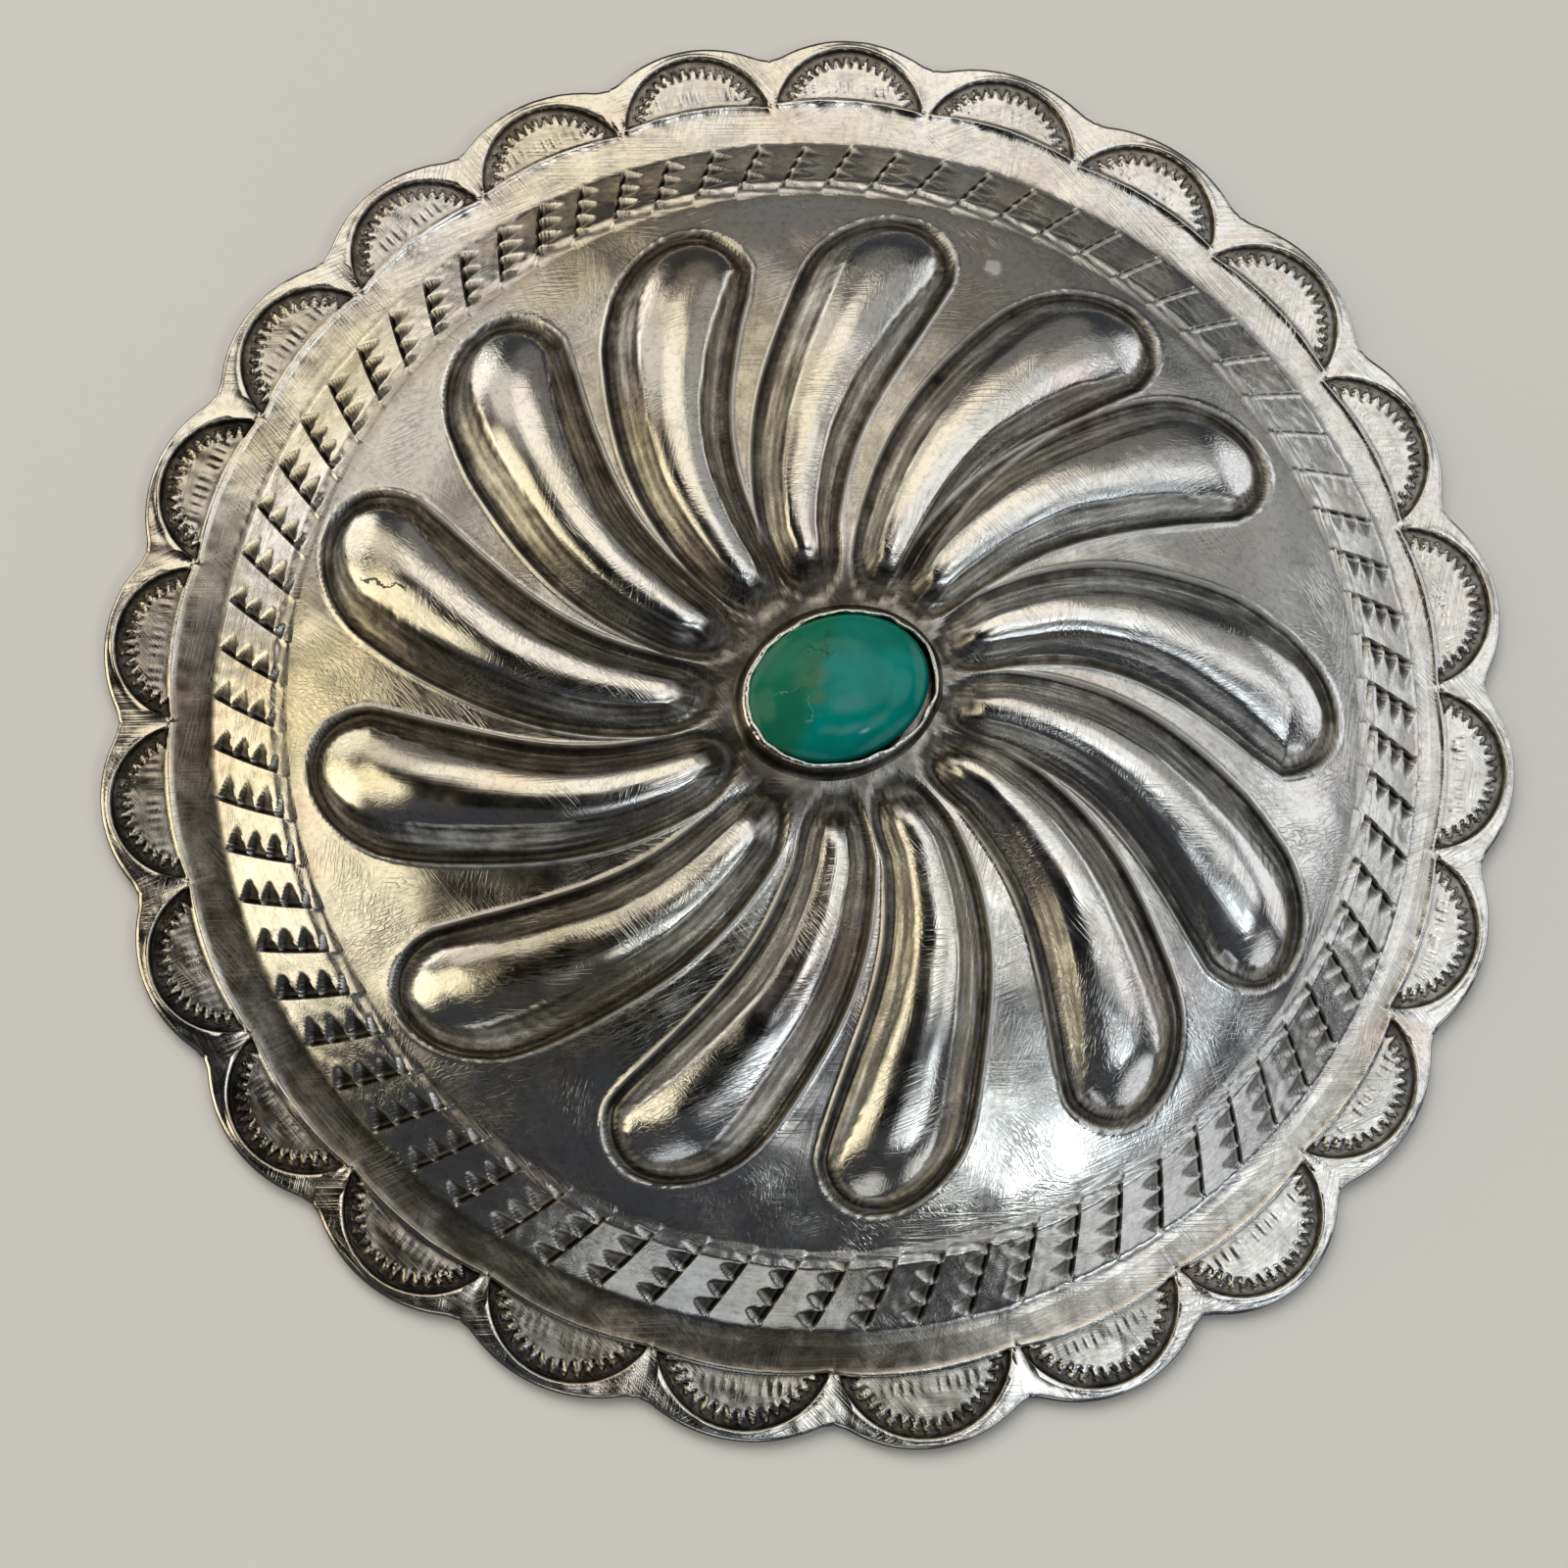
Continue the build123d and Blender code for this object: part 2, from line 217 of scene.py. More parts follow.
lobes = {
    "crown": 1.30, "moat": 0.42, "halfWidth": 3.4, "channelHalfWidth": 3.9,
    "bulbInset": 5.2, "rootInset": 3.4, "wave": 0.03, "endTurn": 18.0,
    "crownTaper": 0.75, "channelTaper": 0.6, "heightTaper": 0.7,
    "rootTaper": 0.62, "tipSoftness": 1.7, "rootSoftness": 0.9, "rootFade": 1.6,
    "crowning": 0.80, "fall": 1.35, "creaseSoftness": 0.035, "hollow": 2.2,
    # where the top's creases run, as shares of the half width: from the root, over the middle, to the bulb
    "creaseRadii": (8.0, 16.0, 21.0, 24.0),
    "creaseAfter": (0.40, 0.46, 0.52, 0.55), "creaseBefore": (0.52, 0.50, 0.64, 0.80),
    "burr": 0.09, "burrWidth": 0.11, "ridge": 0.08, "ridgeWidth": 0.10, "ridgePlaces": (0.34, 0.72),
    # grime, and on the flanks painted shade in the part towards one side: the least of it, how much more towards one
    # side, and that side's angle
    "seatGrime": (0.33, 0.17, 200), "valleyGrime": (0.10, 0.22, 95), "flankGrimeAndShade": (0.23, 0.24, 160),
    "streaks": 3.1, "streakGrime": 0.12, "creaseGrime": 0.20, "grooveGrime": 0.44,
    "topGrime": 0.05, "lipGrime": 0.16, "mostGrime": 0.80,
    # angles of the round end and of the root, bow, and ends as shares of the lip's and the seat's radius
    "columns": ("tip", "root", "bow", "outer", "inner"),
    "rows": [
        (1.5, 23.0, 0.10, 0.931, 1.12),
        (35.0, 50.0, 0.05, 0.942, 1.12),
        (56.0, 70.0, 0.11, 0.949, 1.07),
        (83.7, 102.7, -0.02, 0.938, 1.04),
        (110.0, 128.3, 0.10, 0.925, 1.09),
        (136.3, 155.0, 0.06, 0.945, 1.16),
        (164.3, 182.0, 0.06, 0.962, 1.21),
        (191.4, 209.0, 0.03, 0.945, 1.17),
        (220.4, 237.5, 0.03, 0.952, 1.21),
        (250.5, 269.0, 0.01, 0.918, 1.03),
        (277.3, 298.5, -0.04, 0.918, 1.02),
        (309.5, 329.5, 0.00, 0.925, 1.03),
        (334.6, 355.0, 0.05, 0.955, 1.06),
    ],
}
lobeRows = [dict(zip(lobes["columns"], row)) for row in lobes["rows"]]
bulbRadius = plate["lipRadius"] - lobes["bulbInset"]
rootRadius = plate["seatRadius"] + lobes["rootInset"]


def lobeAngle(row, r):
    # Turns from the tip's angle to the root's on the way in, with a bow and a slight S
    inside = np.clip((bulbRadius - r) / (bulbRadius - rootRadius), 0, 1)
    bend = 4 * row["bow"] * inside * (1 - inside) - lobes["wave"] * np.sin(fullTurn * inside)
    past = np.maximum(r / bulbRadius - 1, 0)
    return row["tip"] + (row["root"] - row["tip"]) * (inside + bend) - lobes["endTurn"] * past


def lobeSlant(row, r):
    # Cosine of the angle between a lobe's middle line and the radius, evened out over the step
    step = 1.8
    turn = np.radians(lobeAngle(row, r - step) - lobeAngle(row, r + step))
    return np.cos(np.arctan(turn / (2 * step) * r))


def pastEnd(beyond, softness):
    # 0 before a lobe's end circle and the distance past it after, joined by (d + s)^2 / 4s
    blend = np.clip(beyond + softness, 0, 2 * softness) ** 2 / (4 * softness)
    return np.where(beyond > softness, beyond, blend)


def lobeWidths(r):
    # Half widths of a lobe and its channel: the one at the bulb * (r / the bulb's radius)^taper
    share = np.minimum(r, bulbRadius) / bulbRadius
    crown = lobes["halfWidth"] * share ** lobes["crownTaper"]
    return crown, lobes["channelHalfWidth"] * share ** lobes["channelTaper"]


def lobeRelief(r, angle):
    # Over all lobes: the deepest groove below the dome, 1 - t^2.2 across, and the highest back above it.
    # A back is 1 - 0.8 x^2 on top; past the crease at x = c it falls as ((1 - x) / (1 - c))^1.35 to the
    # groove. Both are scaled down towards the root. A thin burr stands on the groove's outer edge, and
    # low ridges run down the flanks. Gives the height; how dark the flanks and grooves are; 1 on the
    # tops; 1 between the lobes; and 1 on the burrs.
    crown, channel = lobeWidths(r)
    size = (crown / lobes["halfWidth"]) ** lobes["heightTaper"]
    creases = [np.interp(r, lobes["creaseRadii"], lobes[side]) for side in ("creaseBefore", "creaseAfter")]
    floor, back, dark, lines, tops, within, burrs = (0 * angle for _ in range(7))
    arc = np.radians(angle) * r
    ragged = 0.5 * ripple(r, arc, 0.9, 61) + 0.5 * ripple(r, arc, 2.4, 62)
    for row in lobeRows:
        turn = np.mod(angle - lobeAngle(row, r) + 180, 360) - 180
        across = np.radians(turn) * r * lobeSlant(row, r)
        bulb = row["outer"] * plate["lipRadius"] - lobes["channelHalfWidth"]
        root = row["inner"] * plate["seatRadius"] + crown / lobes["rootTaper"]
        past = pastEnd(r - bulb, lobes["tipSoftness"])
        past = past + lobes["rootTaper"] * pastEnd(root - r, lobes["rootSoftness"])
        distance = np.hypot(across, past)
        side = smoothStep(0.5 + 0.5 * across / np.maximum(distance, 0.01))  # 0 before the lobe, 1 after it
        atTip = np.where(r > bulb, past / np.maximum(distance, 0.01), 0) ** 2
        sway = np.sin(0.8 * r + 2.1 * row["tip"] + 1.5 * np.sign(across))
        crease = creases[0] + (creases[1] - creases[0]) * side + 0.14 * atTip
        crease = crease + 0.02 * ragged + 0.02 * np.sin(2.7 * row["tip"])
        x = distance / crown
        onFlank = np.clip((x - crease) / (1 - crease), 0, 1)
        top = 1 - lobes["crowning"] * np.minimum(x, 1) ** 2
        flank = (1 - lobes["crowning"] * crease ** 2) * (1 - onFlank) ** lobes["fall"]
        flank = flank + 3 * np.maximum(crease - x, 0)
        height = np.maximum(softMin(top, flank, lobes["creaseSoftness"]), 0) * (x < 1)
        height = height * smoothStep((r - plate["seatRadius"] - 0.2) / lobes["rootFade"])
        share = np.clip((distance - crown) / (channel - crown), 0, 1)
        floor = np.maximum(floor, size * lobes["moat"] * (1 - share ** lobes["hollow"]))
        back = np.maximum(back, size * (lobes["crown"] + lobes["moat"]) * height)
        burr = bell(distance - channel, lobes["burrWidth"]) * smoothStep((r - 8) / 3)
        lines = np.maximum(lines, lobes["burr"] * burr * (1 + 0.35 * ragged))
        for spot in lobes["ridgePlaces"]:
            away = (onFlank - spot - 0.06 * sway) * (1 - crease) * crown
            ridge = lobes["ridge"] * bell(away, lobes["ridgeWidth"]) * (0.5 + 0.5 * sway)
            lines = np.maximum(lines, ridge * smoothStep((0.7 - crease) / 0.15) * size * (1 - atTip) * (x < 1))
        onSide = smoothStep((x - crease + 0.02) / 0.05)
        shade = lobes["streakGrime"] * np.sin(fullTurn * (lobes["streaks"] * onFlank + 0.22 * sway + 0.10 * ragged))
        # Flank tarnish, with the part towards the left standing in as painted shade
        shade = shade + unevenGrimeAndShade(lobes["flankGrimeAndShade"], angle)
        shade = shade + lobes["creaseGrime"] * bell(onFlank - 0.15, 0.20) * (1 - 0.6 * atTip)
        groove = lobes["grooveGrime"] * smoothStep((x - 0.90) / 0.10)
        dark = np.maximum(dark, (onSide * shade + groove) * smoothStep((channel - distance - 0.06) / 0.12))
        tops = np.maximum(tops, 1 - onSide)
        within = np.maximum(within, smoothStep((channel + 0.25 - distance) / 0.25))
        burrs = np.maximum(burrs, burr * np.clip(0.85 + 0.5 * ragged, 0, 1))
    return back - floor + lines, dark, tops, 1 - within, burrs


def lobeColumns(r):
    # For each radius and lobe: angles of the columns from crest to crest, and how far across each is
    fromMiddle = np.concatenate([
        np.linspace(0, 1, 21), 1 + np.linspace(0, 1, 9)[1:], 2 + np.linspace(0, 1, 9)[1:] ** 1.5,
    ])
    crown, channel = lobeWidths(r)
    angles, across = [], []
    middles = [lobeAngle(row, r) for row in lobeRows]
    for index, row in enumerate(lobeRows):
        here = middles[index]
        after = np.mod(middles[(index + 1) % len(middles)] - here, 360) / 2
        before = np.mod(here - middles[index - 1], 360) / 2
        perWidth = np.degrees(1 / (r * lobeSlant(row, r)))
        sides = []
        for room in (before, after):
            back = np.minimum(crown * perWidth, 0.72 * room)
            edge = np.minimum(channel * perWidth, 0.9 * room)
            stops = np.stack([0 * room, back, edge, room])
            whole = np.minimum(fromMiddle.astype(int), 2)
            part = fromMiddle - whole
            sides.append((stops[whole] + (stops[whole + 1] - stops[whole]) * part[:, None]).T)
        offsets = np.concatenate([-sides[0][:, ::-1], sides[1][:, 1:]], 1)
        angles.append(here[:, None] + offsets)
        across.append(offsets / perWidth[:, None] + 10 * index)
    return np.stack(angles, 1), np.stack(across, 1)


def lobedDome():
    # Rows run inwards over the front and back outwards behind it, one sheet lower and with fewer of them
    frontRadii = np.concatenate([
        np.linspace(plate["domeSeam"], 21.6, 51), np.linspace(21.6, plate["seatRadius"] - 0.15, 33)[1:],
        [5.0, 4.5, plate["domeHole"]],
    ])
    backRadii = frontRadii[::-1][np.r_[0:36:4, 39:86:5]]
    r = np.concatenate([frontRadii, backRadii, [plate["domeSeam"]]])
    angles, across = lobeColumns(r)
    radius = np.broadcast_to(r[:, None, None], angles.shape)
    behind = (np.arange(len(r)) >= len(frontRadii))[:, None, None]
    relief, dark, tops, between, burrs = lobeRelief(radius, angles)
    x, y = plan(radius, angles)
    z = plainHeight(radius) + relief + hammered(x, y) + plate["seatLift"] * smoothStep((6.4 - radius) / 0.9)
    z = z - np.where(behind, plate["sheet"], 0)
    tarnishAndShade = lobes["topGrime"] + dark + lobes["lipGrime"] * bell(radius - plate["domeSeam"], 0.45)
    tarnishAndShade = tarnishAndShade + between * smoothStep((25.5 - radius) / 3.5) * unevenGrimeAndShade(lobes["valleyGrime"], angles)
    nearSeat = smoothStep((8.4 - radius) / 2.2) * (1 - 0.85 * tops)
    tarnishAndShade = np.clip(tarnishAndShade + nearSeat * unevenGrimeAndShade(lobes["seatGrime"], angles), 0, lobes["mostGrime"])
    tarnishAndShade = np.where(behind, plate["backGrime"], tarnishAndShade)
    floats = {"tarnishAndShade": tarnishAndShade, "burr": burrs}
    return ringPiece("lobedDome", np.stack([x, y, z], -1), np.stack([radius, across], -1), floats)


# Wall with the rope stamps, each a comb of three teeth beside a slanted cut

ropes = {
    "count": 75, "depth": 0.38, "toothLength": 1.50, "teeth": 3, "skew": 0.30, "zigzag": 0.26, "burr": 0.12,
    "outerTurn": -4.93, "innerTurn": -1.93,
    "outer": [(1, 2.79, 0.57), (2, -0.59, 0.05)],
    "inner": [(1, 1.80, 0.50), (2, -0.52, -0.25)],
    "toothAngles": [0, 20, 27, 60, 75, 100, 120, 225, 238, 262, 300, 320, 338],
    "toothDepths": [1.0, 0.9, 0.15, 0.12, 0.45, 0.7, 1.0, 1.0, 0.7, 0.85, 0.7, 0.35, 0.8],
    "edgeAngles": [0, 20, 85, 125, 200, 280, 340],  # where the stamps left bright burrs
    "edgeHeights": [0.6, 1.0, 1.0, 0.2, 0.1, 0.35, 0.4],
    "reach": (32.35, 29.50),  # radii of the outer and inner ends of a stamp's three teeth
    "darkness": 0.16, "stampGrime": 0.75, "lipPolish": 0.10, "lipGrime": 0.16, "burrPolish": 3.0, "edgePolish": 0.25,
}


def ropeWall():
    # Down a stamp, t goes from 0 in a tooth's middle to 1 between teeth, and a tooth is pressed in
    # where t < 0.98 * reach^0.75, with the reach 1 at the cut and 0 at its point
    frontRadii = np.concatenate([
        np.linspace(plate["rimSeam"], 32.5, 5), np.linspace(32.4, 29.4, 29),
        np.linspace(29.32, plate["domeSeam"], 11),
    ])
    r = np.append(frontRadii, [plate["domeSeam"], 29.5, 30.5, 31.5, 32.2, plate["rimSeam"]])
    behind = (np.arange(len(r)) >= len(frontRadii))[:, None, None]
    count = ropes["count"]
    nominal = np.arange(count + 1) * 360 / count
    inward = np.clip((plate["footRadius"] - r) / (plate["footRadius"] - plate["lipRadius"]), -0.1, 1.15)
    outer = nominal + ropes["outerTurn"] + waves(ropes["outer"], nominal)
    inner = nominal + ropes["innerTurn"] + waves(ropes["inner"], nominal)
    cuts = outer + (inner - outer) * inward[:, None]
    pitch = (cuts[:, 1:] - cuts[:, :-1])[:, :, None]
    share = np.concatenate([[0, 0.035], np.linspace(0.1, 0.42, 6), np.linspace(0.46, 1, 19)])
    angle = cuts[:, :-1, None] + pitch * share
    radius = np.broadcast_to(r[:, None, None], angle.shape)
    before = (1 - share) * np.radians(pitch) * radius  # from the next cut back
    stampAngle = np.broadcast_to(cuts[:, 1:, None], angle.shape)
    draw = np.random.default_rng(5)
    strength = periodic(ropes["toothAngles"], ropes["toothDepths"], stampAngle)
    strength = strength * draw.uniform(0.8, 1.1, count)[None, :, None]
    toothLength = ropes["toothLength"] * draw.uniform(0.85, 1.12, count)[None, :, None]
    first, last = ropes["reach"]
    shift = draw.uniform(-0.12, 0.12, count)[None, :, None]
    way = (first - radius + shift) / (first - last) * ropes["teeth"]  # 0 to 3 down a stamp
    way = way - ropes["skew"] * before / toothLength
    tooth = np.abs(np.mod(way, 1) - 0.5) * 2
    reach = np.clip(1 - before / toothLength, 0, 1)
    intoTooth = 0.98 * reach ** 0.75 - tooth
    inStamp = smoothStep((way + 0.10) / 0.16) * smoothStep((ropes["teeth"] + 0.5 - way) / 0.2)
    pressed = smoothStep((intoTooth + 0.06) / 0.22) * inStamp * (0.25 + 0.75 * reach)
    cut = np.where(share < 0.001, 0, bell(before, 0.13) * inStamp)
    depth = ropes["depth"] * (strength * pressed + 0.5 * (1 - 0.7 * strength) * cut)
    edges = periodic(ropes["edgeAngles"], ropes["edgeHeights"], stampAngle)
    raised = edges * bell(before - 0.28, 0.10) * inStamp * (1 - 0.6 * strength * pressed)
    struck = edges * bell(intoTooth, 0.16) * inStamp * (reach > 0.08)
    x, y = plan(radius, angle)
    fine = 0.012 * ripple(x, y, 0.9, 21, 14) * smoothStep((radius - 28.6) / 0.4) * smoothStep((32.9 - radius) / 0.4)
    zigzag = ropes["zigzag"] * (0.5 - share) * bell(radius - 28.75, 0.35) * (1 - bell(share, 0.03))
    z = plainHeight(radius + zigzag * (radius > 28.4)) + hammered(x, y) + fine
    up = 1 / math.hypot(1, wallSlope)
    z = np.where(behind, z - plate["sheet"], z + (ropes["burr"] * raised - depth) * up)
    lean = depth * wallSlope * up * smoothStep((radius - 28.7) / 0.4) * smoothStep((32.6 - radius) / 0.4)
    radius = np.where(behind, radius, radius - lean)
    lip = bell(radius - 28.9, 0.30)
    tarnishAndShade = ropes["darkness"] + ropes["stampGrime"] * np.clip(1.5 * depth / ropes["depth"], 0, 1)
    tarnishAndShade = tarnishAndShade - ropes["lipPolish"] * lip + ropes["lipGrime"] * bell(radius - plate["domeSeam"], 0.45)
    # Painted shade on the flat band at the lower left
    tarnishAndShade = tarnishAndShade + plate["bandDarkening"] * bandDarkening(radius, angle)
    tarnishAndShade = tarnishAndShade - ropes["burrPolish"] * ropes["burr"] * raised - ropes["edgePolish"] * struck
    tarnishAndShade = np.where(behind, plate["backGrime"], np.clip(tarnishAndShade, 0, 1))
    burrs = np.clip(raised + 0.5 * struck + 0.25 * lip, 0, 1) * (1 - behind)
    flow = np.stack([np.radians(angle) * 31, radius], -1)
    return ringPiece("ropeWall", place(radius, angle, z), flow, {"tarnishAndShade": tarnishAndShade, "burr": burrs})


# Rim: 24 scallops, each with a half-moon stamp

rim = {
    "scallops": 24, "columns": 76, "tipRadius": 38.24, "notchRadius": 36.86, "firstNotch": 2.66,
    "moonInner": 34.45, "moonArch": 0.25, "moonGap": 0.40, "moonMargin": 0.55, "moonDepth": 0.30, "burr": 0.07,
    "notchSoftness": 0.35, "edgeRound": 0.30,
    "turns": [(1, 2.06, 2.08), (3, -0.55, 0.22)],
    "radii": [(1, -0.0047, 0.0021), (2, -0.0065, 0.0013), (3, -0.0071, -0.0031)],
    "border": 0.40, "toothLength": 0.80, "teeth": 13, "toothFan": 118,  # sunburst teeth, over a fan in degrees
    "floorDepth": 0.08, "strip": 0.35, "finLength": 0.85, "finHeight": 0.05, "fins": 19,
    # grime: on the margin, on the band, in the stamps (their extra towards the lower left is painted shade), between
    # their teeth, and what is worn off or added on fine lines
    "darkness": 0.05, "burrPolish": 0.20, "bandDarkening": 0.08, "bandSide": (0.20, 312),
    "stampGrime": 0.10, "stampShade": (0.30, 222), "floorGrime": 0.46, "outlineGrime": 0.22,
    "wornPolish": 0.25, "finPolish": 0.14,
    # scallops struck further out than the regular outline, or less far, by their index
    "uneven": {0: 0.4, 3: -0.25, 4: -0.25, 7: -0.2, 18: 0.4, 19: 0.4, 20: 0.75, 23: 0.3},
}


def arcRadius(middle, half, ends, tip, angle):
    # Radius, from the brooch's centre, of the round arc through two end points and a tip between them
    chord = ends * np.sin(np.radians(half))
    rise = tip - ends * np.cos(np.radians(half))
    bend = (chord ** 2 + rise ** 2) / (2 * rise)
    centre = tip - bend
    turn = np.radians(angle - middle)
    inside = np.maximum(bend ** 2 - (centre * np.sin(turn)) ** 2, 0)
    return centre * np.cos(turn) + np.sqrt(inside), centre, bend


def stampedRim():
    # Each stamp lies between an arched inner edge, arch * (1 - t^2), and a round arc inside the scallop's
    # own; the floor is pressed in by a depth, less on the teeth, which narrow evenly towards the middle
    count, columns = rim["scallops"], rim["columns"]
    nominal = np.arange(count + 1) * 360 / count
    notches = nominal + rim["firstNotch"] + waves(rim["turns"], nominal)
    start, end = notches[:-1, None], notches[1:, None]
    middle, half = (start + end) / 2, (end - start) / 2
    share = np.linspace(0, 1, columns + 1)
    angle = start + (end - start) * share
    offset = rim["tipRadius"] * waves(rim["radii"], middle)
    notchRadii = (rim["notchRadius"] + rim["tipRadius"] * waves(rim["radii"], notches))[:, None]
    ends = (notchRadii[:-1] + notchRadii[1:]) / 2
    reach = np.zeros((count, 1))
    for index, further in rim["uneven"].items():
        reach[index] = further
    tip = rim["tipRadius"] + offset + reach
    edge = arcRadius(middle, half, ends, tip, angle)[0]
    edge = edge + (notchRadii[:-1] - ends) * (1 - share) ** 3 + (notchRadii[1:] - ends) * share ** 3
    intoNotch = np.minimum(share, 1 - share) * np.radians(end - start) * rim["notchRadius"]
    edge = edge + rim["notchSoftness"] * 0.6 * bell(intoNotch, 0.42)
    inset = math.degrees(rim["moonGap"] / 2 / rim["moonInner"])
    moonHalf = half - inset
    turn = (angle - middle) / moonHalf
    inner = rim["moonInner"] + offset + rim["moonArch"] * (1 - turn ** 2)
    outer, centre, bend = arcRadius(
        middle, moonHalf, rim["moonInner"] + offset, tip - rim["moonMargin"], angle,
    )
    outer = np.where(np.abs(turn) < 1, np.maximum(outer, inner + 0.12), inner + 0.12)
    # Rows: stops that follow the band, the stamp's two edges, the margin and the rounded side
    seam, low = plate["rimSeam"] + 0 * edge, 0.25
    stops = np.stack([seam, inner - 0.22, inner + 0.14, outer - 0.16, outer + 0.12, edge - low, edge - 0.02])
    stops[5] = np.maximum(stops[5], stops[4] + 0.02)
    stops[6] = np.maximum(stops[6], stops[5] + 0.02)
    steps = [6, 5, 22, 5, 3, 5]
    way = np.concatenate([[k + j / n for j in range(n)] for k, n in enumerate(steps)] + [[len(steps)]])
    whole = np.minimum(way.astype(int), len(steps) - 1)
    part = (way - whole)[:, None, None]
    front = stops[whole] + (stops[whole + 1] - stops[whole]) * part
    fall = np.clip((front - (edge - low)) / low, 0, 1)
    z = plate["sheet"] - rim["edgeRound"] * (1 - np.sqrt(1 - np.minimum(fall, 0.999) ** 2))
    # Half-moon stamp
    turned = np.radians(angle - middle)
    alongX, alongY = front * np.cos(turned) - centre, front * np.sin(turned)
    fromCentre, fan = np.hypot(alongX, alongY), np.degrees(np.arctan2(alongY, alongX))
    fromOuter, fromInner = bend - fromCentre, front - inner
    pressed = smoothStep((fromOuter + 0.05) / 0.16) * smoothStep((fromInner + 0.04) / 0.14)
    pressed = pressed * (np.abs(turn) < 1.02)
    draw = np.random.default_rng(3)
    jitter = draw.uniform(-0.3, 0.3, (count, 1))
    tooth = np.abs(np.mod(fan / (rim["toothFan"] / rim["teeth"]) + jitter, 1) - 0.5) * 2
    rise = (fromOuter - rim["border"]) / rim["toothLength"]
    teeth = smoothStep((rise + 0.22 - tooth) / 0.22)
    fin = np.abs(np.mod((angle - middle) / (2 * moonHalf) * rim["fins"] + jitter, 1) - 0.5) * 2
    inFins = (fromInner - rim["strip"]) / rim["finLength"]
    fins = smoothStep((0.30 - fin) / 0.25) * smoothStep(inFins / 0.15) * smoothStep((1 - inFins) / 0.3)
    tips = smoothStep((1 - np.abs(turn)) / 0.10)
    raised = teeth * tips
    moonZ = rim["moonDepth"] - (rim["moonDepth"] - rim["floorDepth"]) * raised - rim["finHeight"] * fins * tips
    x, y = plan(front, angle)
    outline = bell(fromOuter - 0.10, 0.11) + 0.5 * bell(fromInner - 0.12, 0.10)
    burrs = bell(fromOuter + 0.13, 0.10) + bell(fromInner + 0.12, 0.10)
    worn = bell(rise - 0.35, 0.45) * raised  # the teeth's worn points
    bandMore, bandMiddle = rim["bandSide"]
    stampMore, stampMiddle = rim["stampShade"]
    inBand = rim["bandDarkening"] + bandMore * towardsSide(angle, bandMiddle) ** 3
    # The stamps' extra darkening towards the lower left is painted shade
    inStamp = rim["stampGrime"] + stampMore * towardsSide(middle, stampMiddle) ** 2 + rim["floorGrime"] * (1 - raised)
    inStamp = inStamp + rim["outlineGrime"] * outline - rim["wornPolish"] * worn - rim["finPolish"] * fins
    # The plate's band term here is painted shade at the lower left
    tarnishAndShade = rim["darkness"] + plate["bandDarkening"] * bandDarkening(front, angle) * (1 - pressed) - rim["burrPolish"] * burrs
    tarnishAndShade = tarnishAndShade + smoothStep((inner - front) / 0.3) * inBand + pressed * inStamp
    z = z + rim["burr"] * burrs * (np.abs(turn) < 1.01) * (front < edge - 0.2) - pressed * moonZ
    z = z + hammered(x, y) * smoothStep((edge - front) / 1.0) - 0.012 * smoothStep((front - 35) / 2)
    z = z + 0.010 * ripple(x, y, 1.1, 31, 14) * smoothStep((front - 33.4) / 0.6)
    # Side and back
    lowStops = [(0.0, 0.45), (0.0, 0.18), (-0.14, 0.0), (-1.2, 0.0)]
    backR = np.stack([edge + move for move, _ in lowStops] + [35.0 + 0 * edge, seam])
    backZ = np.stack([0 * edge + height for _, height in lowStops] + [0 * edge, 0 * edge])
    r, z = np.concatenate([front, backR]), np.concatenate([z, backZ])
    tarnishAndShade = np.clip(np.concatenate([tarnishAndShade, 0.35 + 0 * backR]), 0, 1)
    angle = np.broadcast_to(angle, r.shape)
    flow = np.stack([np.radians(angle) * 36, r], -1)
    return ringPiece("stampedRim", place(r, angle, z), flow, {"tarnishAndShade": tarnishAndShade})


# Bezel on its seat, and the stone

setting = {
    "length": 10.6, "width": 8.4, "wall": 0.30, "height": 1.35, "turn": 21.0,
    "seatTop": 8.36, "lean": 0.16, "gapTurn": 5.58, "columns": 360,  # gapTurn: where the bezel stands off the stone
}
stone = {
    "length": 9.84, "width": 7.64, "low": 8.44, "girdle": 1.0, "rise": 1.25, "columns": 256, "shift": (-0.10, 0.05),
}


def ovalPoints(halfLength, halfWidth, z, columns):
    # Points round an oval turned to the setting's angle
    turn, lean = np.linspace(0, fullTurn, columns, endpoint=False), math.radians(setting["turn"])
    x, y = halfLength * np.cos(turn), halfWidth * np.sin(turn)
    return np.stack(np.broadcast_arrays(
        x * math.cos(lean) - y * math.sin(lean), x * math.sin(lean) + y * math.cos(lean), z,
    ), -1)


